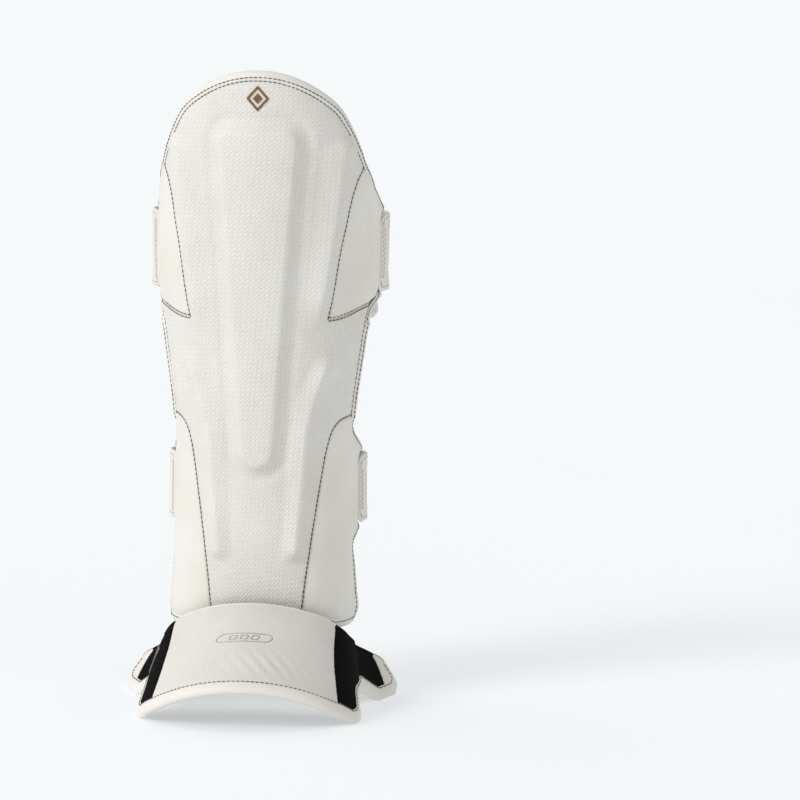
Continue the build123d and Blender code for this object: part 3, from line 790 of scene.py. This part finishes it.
# ---- Shin: foam layers and lining ----
pad_loop = inward(SHIN_LOOP, 3.2)
coarse, coarse_triangles = triangulate(pad_loop, [], 4.0)
cu = coarse[:, 0]
pad_edge = distances(coarse, [np.vstack([SHIN_LOOP, SHIN_LOOP[:1]])])
front_share = np.cos(np.clip(cu / SHIN_QUARTER, -1, 1) * pi / 2) ** 2
lining_relief = 0.5 * soft_noise(coarse, 30.0, 11.0)
QUILT_U = 46.0
quilting = -1.8 * (1 - ramp(np.abs(np.abs(cu) - QUILT_U), 0.5, 7)) * ramp(pad_edge, 10, 24)
lining_level = -(7.6 + (6.4 + 8.0 * front_share) * ramp(pad_edge, 0, 30)) - quilting + lining_relief
skin_under = shin_edge_drop(pad_edge) - 3.1
between = skin_under * 0.55 + lining_level * 0.45
impact = slab("shin_impact_pad", SHIN, coarse, coarse_triangles, skin_under, between, hard_foam)
finish_piece(impact, "shin", ("impact_foam",))
comfort = slab(
    "shin_comfort_pad", SHIN, coarse, coarse_triangles, between - 0.1, lining_level + 1.4, soft_foam
)
finish_piece(comfort, "shin", ("comfort_foam",))
lining = slab(
    "shin_lining_cloth", SHIN, coarse, coarse_triangles, lining_level + 1.3, lining_level, lining_cloth
)
finish_piece(lining, "shin", ("shin_lining",))

# Front views of the foam bars. The tibia bar's is its right half.
TIBIA_LOOP = (
    (0, 416), (22, 415), (27.5, 411), (29, 404), (26, 360), (20, 270), (14, 190), (11, 173), (0, 171),
)
UPPER_RIB_LOOP = (
    (49, 403), (55, 401), (55.5, 392), (49, 345), (41.5, 293), (38, 285), (35.5, 293), (42, 345), (48, 395),
)
LOWER_RIB_LOOP = (
    (43, 247), (46, 249), (41, 234), (35.5, 220), (30.5, 196), (28.5, 168), (26, 136), (24, 113), (21, 110),
    (19.5, 113), (21, 136), (22, 168), (24, 196), (29, 220),
)


def front_loop(points):
    return resample(np.array([(float(shin_from_front(x, z)), z) for x, z in points + points[:1]]), 2.0)[:-1]


tibia_edge = TIBIA_LOOP + tuple((-x, z) for x, z in TIBIA_LOOP[-2:0:-1])
bars = [("tibia_bar_foam", front_loop(tibia_edge))]
for side_name, turned in (("right", False), ("left", True)):
    for rib_name, rib_points in (("upper", UPPER_RIB_LOOP), ("lower", LOWER_RIB_LOOP)):
        rib_loop = front_loop(rib_points)
        bars.append((f"{rib_name}_{side_name}_rib_foam", mirrored(rib_loop) if turned else rib_loop))
for bar_name, loop in bars:
    bar_flat, bar_triangles = triangulate(loop, [], 2.6)
    top = np.maximum(shin_relief(*bar_flat.T) - 1.9, -2.6)
    low = np.full(len(bar_flat), -3.0)
    bar = slab(f"{bar_name}_pad", SHIN, bar_flat, bar_triangles, top, low, hard_foam)
    finish_piece(bar, "shin", (bar_name,))

# ---- Shin: binding tape, stitching, painted crease shade and badge ----
shin_tape = tape("shin_binding_tape", SHIN, SHIN_LOOP[::-1], True, SHIN_TAPE, 8.2, tape_leather, proud=-0.5)
bindings = [f"shin_{part}_binding" for part in ("top", "left", "right", "bottom")]
finish_piece(shin_tape, "shin", bindings)


def closed(loop):
    return np.vstack([loop, loop[:1]])


# Stitch lines round the shell's edge: distance from the edge, and height.
# The second run, sunk at the tape's inner edge, is painted shade: dark thread laid along the crease shadow
# at the tape's edge.
EDGE_RUNS = ((4.6, -0.3), (7.2, -1.0))
shin_runs = [run_on(SHIN, closed(inward(SHIN_LOOP, distance)), level) for distance, level in EDGE_RUNS]
SEAM_OFFSET = 0.8           # from a seam to the stitches beside it
HEM_OFFSET = 1.6            # from the upper cover's hem to its second row of stitches


def beside(line, distance):
    """A line moved sideways, to its left where distance is positive."""
    ahead = np.gradient(line, axis=0)
    side = np.stack([-ahead[:, 1], ahead[:, 0]], 1) / np.linalg.norm(ahead, axis=1)[:, None]
    return line + side * distance


def relief_run(line, lift):
    """A stitch run that follows the moulded relief of the shin."""
    u, v = line.T
    level = shin_relief(u, v) + shin_edge_drop(distances(line, [closed(SHIN_LOOP)]))
    return SHIN.at(u, v, level + lift), SHIN.normal(u, v)


inner_loop = inward(SHIN_LOOP, SHIN_TAPE)
SEAM_ROWS = (
    (upper_seam, SEAM_OFFSET), (upper_hem, -SEAM_OFFSET),
    (upper_hem, HEM_OFFSET), (lower_seam, SEAM_OFFSET),
)
for seam, away in SEAM_ROWS:
    line = beside(seam, away)
    line = line[inside(line, inner_loop)]
    shin_runs += [relief_run(line, -0.05), relief_run(mirrored(line), -0.05)]
shin_thread_and_crease_shade = stitches("shin_stitching_and_crease_shade", shin_runs, olive_thread)
finish_piece(shin_thread_and_crease_shade, "shin")
quilt_runs = []
for side in (-1, 1):
    line = np.stack([np.full(90, side * QUILT_U), np.linspace(84, 420, 90)], 1)
    place = SHIN.at(line[:, 0], line[:, 1], np.full(90, -18.2))
    quilt_runs.append((place, -SHIN.normal(line[:, 0], line[:, 1])))
quilting_thread = stitches("lining_stitching", quilt_runs, olive_thread)
finish_piece(quilting_thread, "shin")

BADGE_V = 437.0
BADGE_HALF = np.array((7.5, 9.2))
lozenge = np.array(((1.0, 0.0), (0.0, 1.0), (-1.0, 0.0), (0.0, -1.0))) * BADGE_HALF


def badge_part(name, sizes, filled):
    """A raised part of the badge: rings of the lozenge from its outside in, filled to the middle or not."""
    ring = resample(closed(lozenge), 0.8)[:-1]
    count = len(ring)
    points = [tuple(p * size + (0, BADGE_V)) for size in sizes for p in ring]
    faces = []
    for row in range(len(sizes) - 1):
        for k in range(count):
            a, b = row * count + k, row * count + (k + 1) % count
            faces += [(a, b, b + count), (a, b + count, a + count)]
    if filled:
        first, middle = (len(sizes) - 1) * count, len(points)
        points.append((0, BADGE_V))
        faces += [(first + k, first + (k + 1) % count, middle) for k in range(count)]
    points, faces = np.array(points), np.array(faces)
    skin = shin_relief(*points.T) + shin_edge_drop(distances(points, [closed(SHIN_LOOP)]))
    badge = slab(f"badge_{name}", SHIN, points, faces, skin + 0.55, skin - 0.3, bronze_foil, 30)
    finish_piece(badge, "shin", () if filled else ("shin_badge",))


badge_part("rim", (1.0, 0.87, 0.74), False)
badge_part("core", (0.42, 0.21), True)

# ---- Instep flap ----
MARK_CENTRE = np.array((-2.0, 40.0))
MARK_HALF = np.array((17.5, 4.3))
MARK_SLANT = 0.35


def mark_lines():
    """A generic pressed mark: a slanted stadium outline with three slanted bars."""
    angles = np.linspace(-pi / 2, pi / 2, 12)
    cap = MARK_HALF[1]
    right = [(MARK_HALF[0] - cap + cap * cos(t), cap * sin(t)) for t in angles]
    loop = np.array(right + [(-x, -y) for x, y in right])
    bars = []
    for x in (-7.0, 0.0, 7.0):
        corners = [(x + wide, high) for wide, high in ((-2.2, -2.0), (2.2, -2.0), (2.2, 2.0), (-2.2, 2.0))]
        bars.append(closed(np.array(corners)))
    lines = [closed(loop)] + bars
    return [line @ np.array(((1.0, 0.0), (-MARK_SLANT, 1.0))) + MARK_CENTRE for line in lines]


def foot_relief(u, v):
    """Diagonal creases that the instep's cover has kept from bending."""
    along = (u - 14) * 0.6 + (v - 66) * 0.8
    across = (u - 14) * 0.8 - (v - 66) * 0.6
    patch = np.exp(-((u - 12) / 20) ** 2 - ((v - 68) / 11) ** 2)
    return 0.55 * patch * np.cos(across * 2 * pi / 7.5 + 0.35 * along / 4)


def foot_edge_drop(to_outline):
    """How far the flap's skin sinks towards its edge."""
    return -1.2 * (1 - ramp(to_outline, 0, 12))


foot_seams = [cover_seam, wing_seam]
foot_seams += [mirrored(seam) for seam in foot_seams]
foot_seams = [trimmed(seam, FOOT_PANEL_LOOP) for seam in foot_seams]
mark_box = (MARK_CENTRE[0] - 21, MARK_CENTRE[0] + 21, MARK_CENTRE[1] - 6, MARK_CENTRE[1] + 6)
flat, triangles = triangulate(FOOT_PANEL_LOOP, foot_seams, 1.9, fine=((mark_box, 0.45),))
u, v = flat.T
to_outline = distances(flat, [closed(FOOT_LOOP)])
to_seam = distances(flat, foot_seams)
pressed = -0.5 * (1 - ramp(distances(flat, mark_lines()), 0.25, 0.75))
texture = 0.20 * soft_noise(flat, 18.0, 21.0) + 0.08 * soft_noise(flat, 5.0, 23.0)
outer = foot_relief(u, v) + pressed + texture + edge_roll(to_seam, 2.0, 0.9) + foot_edge_drop(to_outline)
middles = flat[triangles].mean(1)
in_cover = inside(middles, instep_cover_loop)
in_wings = {"right": inside(middles, wing_loop), "left": inside(middles, mirrored(wing_loop))}
cover = slab("shaded_instep_leather", FOOT, flat, triangles[in_cover], outer + 0.3, outer - 1.4, shaded_instep_leather)
finish_piece(cover, "instep", ("instep_cover",))
side_of = {"right": middles[:, 0] > 0, "left": middles[:, 0] < 0}
for side_name in ("right", "left"):
    cloth = side_of[side_name] & ~in_cover & ~in_wings[side_name]
    black = slab(
        f"{side_name}_side_cloth", FOOT, flat, triangles[cloth], outer - 0.3, outer - 1.5, black_cloth
    )
    finish_piece(black, "instep", (f"{side_name}_side_panel",))
    patch = in_wings[side_name] & ~in_cover
    wing = slab(
        f"{side_name}_wing_leather", FOOT, flat, triangles[patch], outer + 0.2, outer - 1.4, cover_leather
    )
    finish_piece(wing, "instep", (f"{side_name}_wing_patch",))

# Grey tubes along the bottom of the pressed mark's grooves: painted shade, so that the grooves read darker
# than the leather round them.
mark_runs = []
for line in mark_lines():
    line = resample(line, 0.6)
    level = foot_relief(*line.T) - 0.2
    mark_runs.append((FOOT.at(line[:, 0], line[:, 1], level), FOOT.normal(line[:, 0], line[:, 1])))
mark = stitches("pressed_mark_groove_shade", mark_runs, groove_shade_grey, length=1.2, gap=0.0, radius=0.3)
finish_piece(mark, "instep")

foot_pad_loop = inward(FOOT_LOOP, 3.0)
coarse, coarse_triangles = triangulate(foot_pad_loop, [], 4.0)
pad_edge = distances(coarse, [closed(FOOT_LOOP)])
foot_front = np.cos(np.clip(coarse[:, 0] / FOOT_QUARTER, -1, 1) * pi / 2) ** 2
foot_skin = foot_edge_drop(pad_edge) - 2.6
foot_lining = -(6.6 + (2.0 + 3.0 * foot_front) * ramp(pad_edge, 0, 16))
foot_lining += 0.4 * soft_noise(coarse, 24.0, 31.0)
foot_pad = slab("instep_pad", FOOT, coarse, coarse_triangles, foot_skin, foot_lining + 1.5, soft_foam)
finish_piece(foot_pad, "instep", ("instep_foam",))
foot_lining_cloth = slab(
    "instep_lining_cloth", FOOT, coarse, coarse_triangles, foot_lining + 1.4, foot_lining, lining_cloth
)
finish_piece(foot_lining_cloth, "instep", ("instep_lining",))

wing_tip_u, wing_tip_v, _ = foot_from_side(np.array(23.0), np.array(26.0))
TAPE_START = int(np.argmin(np.linalg.norm(FOOT_HALF - (wing_tip_u, wing_tip_v), axis=1)))
lower_half = resample(FOOT_HALF[TAPE_START:], 1.5)
lower_half[-1, 0] = 0.0
hem_line = np.vstack([lower_half, mirrored(lower_half)[1:]])
hem_tape = tape(
    "instep_hem_tape", FOOT, hem_line, False, FOOT_TAPE, 7.2, tape_leather, proud=-0.2, seed=5.0
)
hem_bindings = ("instep_hem_binding", "left_wing_binding", "right_wing_binding")
finish_piece(hem_tape, "instep", hem_bindings)

upper_half = resample(FOOT_HALF[: TAPE_START + 1], 1.5)
upper_half[0, 0] = 0.0
cover_part = upper_half[inside(upper_half, instep_cover_loop)]
black_part = upper_half[len(cover_part) - 1 :]
cover_edge = np.vstack([mirrored(cover_part)[:-1], cover_part])
top_edge = tape("instep_top_edge", FOOT, cover_edge, False, 4.0, 7.4, cover_leather, proud=-0.7, seed=8.0)
finish_piece(top_edge, "instep")
for side_name, line in (("right", black_part), ("left", mirrored(black_part))):
    black_edge = tape(
        f"{side_name}_side_edge", FOOT, line, False, 4.0, 7.0, black_cloth, proud=-1.0, seed=9.0
    )
    finish_piece(black_edge, "instep")


def foot_run(line, lift):
    """A stitch run on the instep's panels."""
    u, v = line.T
    level = foot_relief(u, v) + foot_edge_drop(distances(line, [closed(FOOT_LOOP)]))
    return FOOT.at(u, v, level + lift), FOOT.normal(u, v)


foot_inner = inward(FOOT_LOOP, FOOT_TAPE)
hem_runs = [run_on(FOOT, beside(hem_line, FOOT_TAPE - 1.2), -0.05)]
hem_thread = stitches("instep_hem_stitching", hem_runs, olive_thread)
finish_piece(hem_thread, "instep")
black_runs = []
for seam, away in (
    (cover_seam, 2.4), (mirrored(cover_seam), 2.4), (wing_seam, -2.2), (mirrored(wing_seam), -2.2)
):
    line = beside(seam, away)
    black_runs.append(foot_run(line[inside(line, foot_inner)], -0.35))
pale_stitching = stitches("side_panel_stitching", black_runs, pale_thread, length=2.4, gap=1.4, radius=0.3)
finish_piece(pale_stitching, "instep")

LABEL_SIDE = ((-66, 24), (-49, 24), (-49, 42), (-66, 42))
label_u, label_v, _ = foot_from_side(*np.array(LABEL_SIDE, float).T)
label_loop = mirrored(resample(closed(np.stack([label_u, label_v], 1)), 1.2)[:-1])
label_flat, label_triangles = triangulate(label_loop, [], 1.6)
label_level = -0.35 + edge_roll(distances(label_flat, [closed(label_loop)]), 1.0, 0.25)
label = slab(
    "woven_label", FOOT, label_flat, label_triangles, label_level + 0.75, label_level + 0.05, label_cloth
)
finish_piece(label, "instep", ("foot_label",))
label_run = foot_run(closed(inward(label_loop, 1.2)), 0.42)
label_thread = stitches("label_stitching", [label_run], pale_thread, length=1.8, gap=1.0, radius=0.2)
finish_piece(label_thread, "instep")

# ---- Calf straps ----
BAND_RIGHT, BAND_LEFT = 2.9, 1.9        # from the side walls to the middle of the strap
LEFT_BULGE = 2.6                        # how much further out the strap runs behind the left wing
LOOP_TAPE, HOOK_TAPE = (0.0, 0.8), (0.9, 1.7)
BAND_FRONT, ROOT_FRONT = 18.0, 18.0     # Y of the strap's free end and of its sewn end
END_DROOP, ROOT_DROOP = 1.9, 0.8        # how far the ends sink towards the wall
TAPE_ENDS = (23.0, 33.0)
TAB_LENGTH, ANCHOR_LENGTH = 9.0, 11.0
HINGE_REACH = 10.0                      # half-length of the stretch where a strap bends open
SEWN_INSET = 3.0                        # from the strap's edge to the stitches round it
TAPE_MARGIN = 6.0                       # from the strap's long edges to the ends of its hook and loop


def strap_line(z, back):
    """The strap's middle line at height z, from its free end on the right to its sewn end on the left."""
    right = [
        (SHIN_QUARTER + y, BAND_RIGHT - END_DROOP * (1 - float(ramp(y, BAND_FRONT, BAND_FRONT + 7))))
        for y in np.linspace(BAND_FRONT, STRAP_CENTRE, 12)
    ]
    left = [
        (-SHIN_QUARTER - y, BAND_LEFT + LEFT_BULGE * float(ramp(y, ROOT_FRONT, STRAP_CENTRE)) - ROOT_DROOP)
        for y in np.linspace(STRAP_CENTRE, ROOT_FRONT, 12)
    ]
    legs = [[SHIN.at(np.array(u), np.array(z), out)[:2] for u, out in leg] for leg in (right, left)]
    start, end = legs[0][-1][0], legs[1][0][0]
    turns = np.linspace(0, pi, 19)[1:-1]
    reach_back = back - STRAP_THICKNESS / 2
    middle, reach_x = (start + end) / 2, (start - end) / 2
    arc = [(middle + reach_x * cos(t), STRAP_CENTRE + reach_back * sin(t)) for t in turns]
    return curve(legs[0] + arc + legs[1])


def strap_surface(bottom, top, back):
    """The surface of a strap. u runs along it from its free end, and v is the height."""
    count, rows = 200, 5
    lines = [strap_line(z, back) for z in np.linspace(bottom, top, rows)]
    length = np.linalg.norm(np.diff(lines[rows // 2], axis=0), axis=1).sum()
    shares = np.linspace(0, 1, count)
    table = np.stack([
        np.stack([np.interp(shares, np.linspace(0, 1, len(line)), line[:, i]) for i in (0, 1)], 1)
        for line in lines
    ])

    def base(u, v):
        u, v = np.broadcast_arrays(np.asarray(u, float), np.asarray(v, float))
        at = u / length * (count - 1)
        level = (v - bottom) / (top - bottom) * (rows - 1)
        i = np.clip(at.astype(int), 0, count - 2)
        j = np.clip(level.astype(int), 0, rows - 2)
        f, g = (at - i)[..., None], (level - j)[..., None]
        low = table[j, i] * (1 - f) + table[j, i + 1] * f
        high = table[j + 1, i] * (1 - f) + table[j + 1, i + 1] * f
        return np.concatenate([low * (1 - g) + high * g, v[..., None]], -1)

    return Surface(base, 1), length


def rectangle(u0, u1, v0, v1, rounding):
    corners = ((u0, v0, rounding), (u1, v0, rounding), (u1, v1, rounding), (u0, v1, rounding))
    return rounded_loop(corners, 1.2)[:-1]


def sheet_piece(name, surface, loop, low, high, material, spacing=2.2, roll=0.6):
    """A closed patch over a loop, between two heights, with rolled edges on its outer side."""
    flat, triangles = triangulate(loop, [], spacing)
    rolled = edge_roll(distances(flat, [closed(loop)]), roll * 1.4, roll)
    return slab(name, surface, flat, triangles, high + rolled, np.full(len(flat), float(low)), material)


for strap_name, (bottom, top, back) in STRAPS.items():
    strap, length = strap_surface(bottom, top, back)
    loop = rectangle(0, length, bottom + 0.3, top - 0.3, 7)
    flat, triangles = triangulate(loop, [], 2.6)
    to_edge = distances(flat, [closed(loop)])
    half = STRAP_THICKNESS / 2
    puff = 0.5 * ramp(to_edge, 2.5, 9) + 0.18 * soft_noise(flat, 14.0, 41.0)
    trench = -0.35 * (1 - ramp(np.abs(to_edge - SEWN_INSET), 0.2, 1.4))
    rolled = edge_roll(to_edge, 1.4, half - 0.1)
    thin = 0.5 * (1 - ramp(flat[:, 0], 0, 8)) + 0.4 * (1 - ramp(length - flat[:, 0], 0, 8))
    padded = ramp(flat[:, 0], 12, 26) * ramp(length - flat[:, 0], 13, 26)
    outside_level = half + rolled - thin + (puff + trench) * padded
    inside_level = -half - rolled
    band = slab(
        f"{strap_name}_calf_strap", strap, flat, triangles, outside_level, inside_level, strap_leather
    )
    way_round = strap.base(np.arange(0, length), np.full(int(np.ceil(length)), bottom))
    angles = np.degrees(np.arctan2((way_round[:, 1] - STRAP_CENTRE) / back, way_round[:, 0] / HINGE_ACROSS))
    hinge_at = int(np.argmin(np.abs(angles - HINGE_ANGLE)))
    before = strap.base(np.array(hinge_at + HINGE_REACH), np.array((bottom + top) / 2)) * MM
    after = strap.base(np.array(hinge_at - HINGE_REACH), np.array((bottom + top) / 2)) * MM
    bending = ("shin", f"{strap_name}_strap", tuple(before), tuple(after))
    replaced = (f"{strap_name}_strap_root", f"{strap_name}_strap_band")
    finish_piece(band, bending, replaced)
    sewn = closed(inward(loop, SEWN_INSET))
    sewn_run = run_on(strap, sewn, half - 0.1)
    sewing = stitches(f"{strap_name}_strap_stitching", [sewn_run], strap_thread, radius=0.26)
    finish_piece(sewing, bending)

    middle, tape_half = (bottom + top) / 2, (top - bottom) / 2 - TAPE_MARGIN
    tape_loop = rectangle(
        SHIN_QUARTER + TAPE_ENDS[0], SHIN_QUARTER + TAPE_ENDS[1], middle - tape_half, middle + tape_half, 3
    )
    pile = sheet_piece(f"{strap_name}_pile", SHIN, tape_loop, *LOOP_TAPE, loop_cloth, roll=0.4)
    finish_piece(pile, "shin", (f"{strap_name}_loop_patch",))
    hooks = sheet_piece(f"{strap_name}_hooks", SHIN, tape_loop, *HOOK_TAPE, hook_tape, roll=0.3)
    finish_piece(hooks, f"{strap_name}_strap", (f"{strap_name}_hook_patch",))

    tab_loop = rectangle(0.4, 0.4 + TAB_LENGTH, bottom + 8, top - 8, 3)
    tab = sheet_piece(f"{strap_name}_tab", strap, tab_loop, half - 0.9, half + 0.3, strap_leather)
    finish_piece(tab, f"{strap_name}_strap", (f"{strap_name}_pull_tab",))
    anchor_loop = rectangle(length - 1 - ANCHOR_LENGTH, length - 1, bottom + 4, top - 4, 3)
    anchor = sheet_piece(f"{strap_name}_anchor", strap, anchor_loop, half - 0.9, half + 0.3, strap_leather)
    finish_piece(anchor, "shin", (f"{strap_name}_strap_anchor",))
    tab_run = run_on(strap, closed(inward(tab_loop, 2.2)), half + 0.3)
    tab_thread = stitches(f"{strap_name}_tab_stitching", [tab_run], strap_thread, radius=0.24)
    finish_piece(tab_thread, f"{strap_name}_strap")
    anchor_run = run_on(strap, closed(inward(anchor_loop, 2.2)), half + 0.3)
    anchor_thread = stitches(f"{strap_name}_anchor_stitching", [anchor_run], strap_thread, radius=0.24)
    finish_piece(anchor_thread, "shin")


# ---- Elastic under the sole and behind the heel ----
def webbing(name, line, width_along, half_thickness, material, ribs=1.1):
    """A flat ribbed band. line is its middle line; width_along is the vector across its width."""
    ahead = np.gradient(line, axis=0)
    ahead /= np.linalg.norm(ahead, axis=1)[:, None]
    wide = np.asarray(width_along, float)
    width = np.linalg.norm(wide)
    wide = wide / width
    steps = int(width / ribs * 4)
    across = np.linspace(-width / 2, width / 2, steps)
    ridge = 0.22 * np.abs(np.sin(across * pi / ribs)) - 0.1
    tail = np.clip((width / 2 - np.abs(across)) / 0.8, 0.15, 1)
    profile = [(a, (half_thickness + r) * t) for a, r, t in zip(across, ridge, tail)]
    profile += [(a, -(half_thickness + r) * t) for a, r, t in zip(across, ridge, tail)][::-1]
    vertices, uv = [], []
    run = np.concatenate(([0], np.cumsum(np.linalg.norm(np.diff(line, axis=0), axis=1))))
    for place, direction, at in zip(line, ahead, run):
        up = np.cross(wide, direction)
        up /= np.linalg.norm(up)
        ridge_wave = 1 + 0.05 * sin(at * 2.1)
        vertices += [place + wide * a + up * b * ridge_wave for a, b in profile]
        uv += [(at, a) for a, _ in profile]
    faces = tube_faces(len(line), len(profile), False)
    return make_piece(name, np.array(vertices), faces, material, np.array(uv))


low, high = (np.array(corner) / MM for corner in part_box("sole_strap"))
spans = np.linspace(low[0] + 0.3, high[0] - 0.3, 70)
sole_middle = (low + high) / 2
sole_height = sole_middle[2] + 0.6 * (spans / high[0]) ** 2 - 0.3
sole_line = np.stack([spans, np.full(70, sole_middle[1]), sole_height], 1)
sole = webbing("sole_elastic", sole_line, (0, high[1] - low[1] - 1, 0), 1.0, elastic_cloth)
finish_piece(sole, "instep", ("sole_strap",))

low, high = (np.array(corner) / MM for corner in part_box("heel_strap"))
HEEL_CENTRE, HEEL_FRONT = 12.0, 4.6     # Y where the elastic's curve starts, and Y of its ends
HEEL_REACH, HEEL_HEIGHT = 70.3, 17.0
turns = np.linspace(0, pi, 60)
heel_back = high[1] - HEEL_CENTRE - 1.2
arc = np.stack([
    HEEL_REACH * np.cos(turns), HEEL_CENTRE + heel_back * np.sin(turns), np.full(60, HEEL_HEIGHT)
], 1)
heel_ends = [[(side * HEEL_REACH, HEEL_FRONT, HEEL_HEIGHT)] for side in (1, -1)]
heel_line = resample(np.vstack([heel_ends[0], arc, heel_ends[1]]), 2.5)
heel = webbing("heel_elastic", heel_line, (0, 0, high[2] - low[2] - 1.0), 0.85, elastic_cloth)
finish_piece(heel, "instep", ("heel_strap",))

# ---- Gusset between the flap and the shin's lower edge ----
GUSSET_HALF_WIDTH = 39.0
GUSSET_SIDE = ((-44.5, 54.6), (-58, 59.8), (-72, 60.3), (-84.0, 59.9))
side_line = curve(GUSSET_SIDE)
vertices, faces = [], []
columns = np.linspace(-GUSSET_HALF_WIDTH, GUSSET_HALF_WIDTH, 60)
count = len(side_line)
for face_side in (0.7, -0.7):
    for x in columns:
        sag = 0.35 * sin(x * 0.5) * sin(x * 0.13 + 1)
        rise = face_side * min(1, (GUSSET_HALF_WIDTH - abs(x)) / 2 + 0.4)
        vertices += [(x, y, z + rise + sag) for y, z in side_line]
for i in range(len(columns) - 1):
    for k in range(count - 1):
        a = i * count + k
        faces.append((a, a + 1, a + count + 1, a + count))
every = len(columns) * count
bottom_faces = [tuple(i + every for i in f[::-1]) for f in faces]
rim = [i * count for i in range(len(columns))] + [(len(columns) - 1) * count + k for k in range(1, count)]
rim += [i * count + count - 1 for i in range(len(columns) - 2, -1, -1)] + list(range(count - 2, 0, -1))
walls = [(a, b, b + every, a + every) for a, b in zip(rim, rim[1:] + rim[:1])]
gusset_uv = np.array([(x, y) for x, y, _ in vertices])
all_faces = faces + bottom_faces + walls
gusset = make_piece("ankle_gusset_cloth", np.array(vertices), all_faces, black_cloth, gusset_uv)
gusset_ends = ((0, -0.052, 0.060), (0, -0.068, 0.060))
finish_piece(gusset, ("shin", "instep", *gusset_ends), ("ankle_gusset",))

# ---- Floor, light and camera ----
FLOOR_RADIUS = 60.0
FLOOR_GLOW = 0.48            # lightens the shadows, as a lit backdrop does


def studio_floor():
    count = 96
    turns = np.linspace(0, 2 * pi, count, endpoint=False)
    mesh = bpy.data.meshes.new("studio_floor")
    rim = [(FLOOR_RADIUS * cos(t), FLOOR_RADIUS * sin(t), 0.0) for t in turns]
    mesh.from_pydata(rim, [], [tuple(range(count))])
    finish = Finish("pale floor", 0.75, Specular_IOR_Level=0.2)
    finish.colour(finish.blend_colours(finish.noise(0.4), linear(184, 187, 190), linear(182, 185, 189)))
    finish.shader.inputs["Emission Color"].default_value = linear(252, 254, 255)
    finish.shader.inputs["Emission Strength"].default_value = FLOOR_GLOW
    mesh.materials.append(finish.material)
    floor = bpy.data.objects.new("studio_floor", mesh)
    bpy.context.scene.collection.objects.link(floor)


def soft_sun(name, towards, strength, spread, tint=(1.0, 1.0, 1.0)):
    """Parallel soft light that comes from a direction, with a spread in degrees."""
    light = bpy.data.lights.new(name, "SUN")
    light.energy = strength
    light.angle = radians(spread)
    light.color = tint
    lamp = bpy.data.objects.new(name, light)
    lamp.rotation_euler = Vector(towards).to_track_quat("Z", "Y").to_euler()
    bpy.context.scene.collection.objects.link(lamp)


studio_floor()
soft_sun("key_light", (-0.58, -0.58, 0.50), 1.52, 24, (1.0, 0.995, 0.985))
soft_sun("rim_light", (-0.7, 0.5, 0.5), 0.35, 50)
world = bpy.data.worlds.new("studio")
world.use_nodes = True
world.node_tree.nodes["Background"].inputs["Color"].default_value = (1.0, 0.992, 0.978, 1.0)
world.node_tree.nodes["Background"].inputs["Strength"].default_value = 0.625
bpy.context.scene.world = world
bpy.context.scene.view_settings.view_transform = "Standard"

CAMERA_AZIMUTH, CAMERA_RISE, CAMERA_ROLL = radians(4.8), radians(8.0), radians(0.7)
CAMERA_LENS, CAMERA_SENSOR = 400.0, 36.0
AIM_ACROSS, AIM_HEIGHT = 0.0959, 0.2138     # the point that the camera looks at, beside the guard
FRAME_WIDTH = 0.571         # metres across the picture, at the target
camera_data = bpy.data.cameras.new("camera")
camera_data.lens, camera_data.sensor_width = CAMERA_LENS, CAMERA_SENSOR
camera = bpy.data.objects.new("camera", camera_data)
forward = Vector((
    -sin(CAMERA_AZIMUTH) * cos(CAMERA_RISE), cos(CAMERA_AZIMUTH) * cos(CAMERA_RISE), -sin(CAMERA_RISE)
))
target = Vector((AIM_ACROSS * cos(CAMERA_AZIMUTH), AIM_ACROSS * sin(CAMERA_AZIMUTH), AIM_HEIGHT))
camera.location = target - forward * FRAME_WIDTH * CAMERA_LENS / CAMERA_SENSOR
camera.rotation_euler = forward.to_track_quat("-Z", "Y").to_euler()
camera.rotation_euler.rotate_axis("Z", CAMERA_ROLL)
bpy.context.scene.collection.objects.link(camera)
bpy.context.scene.camera = camera
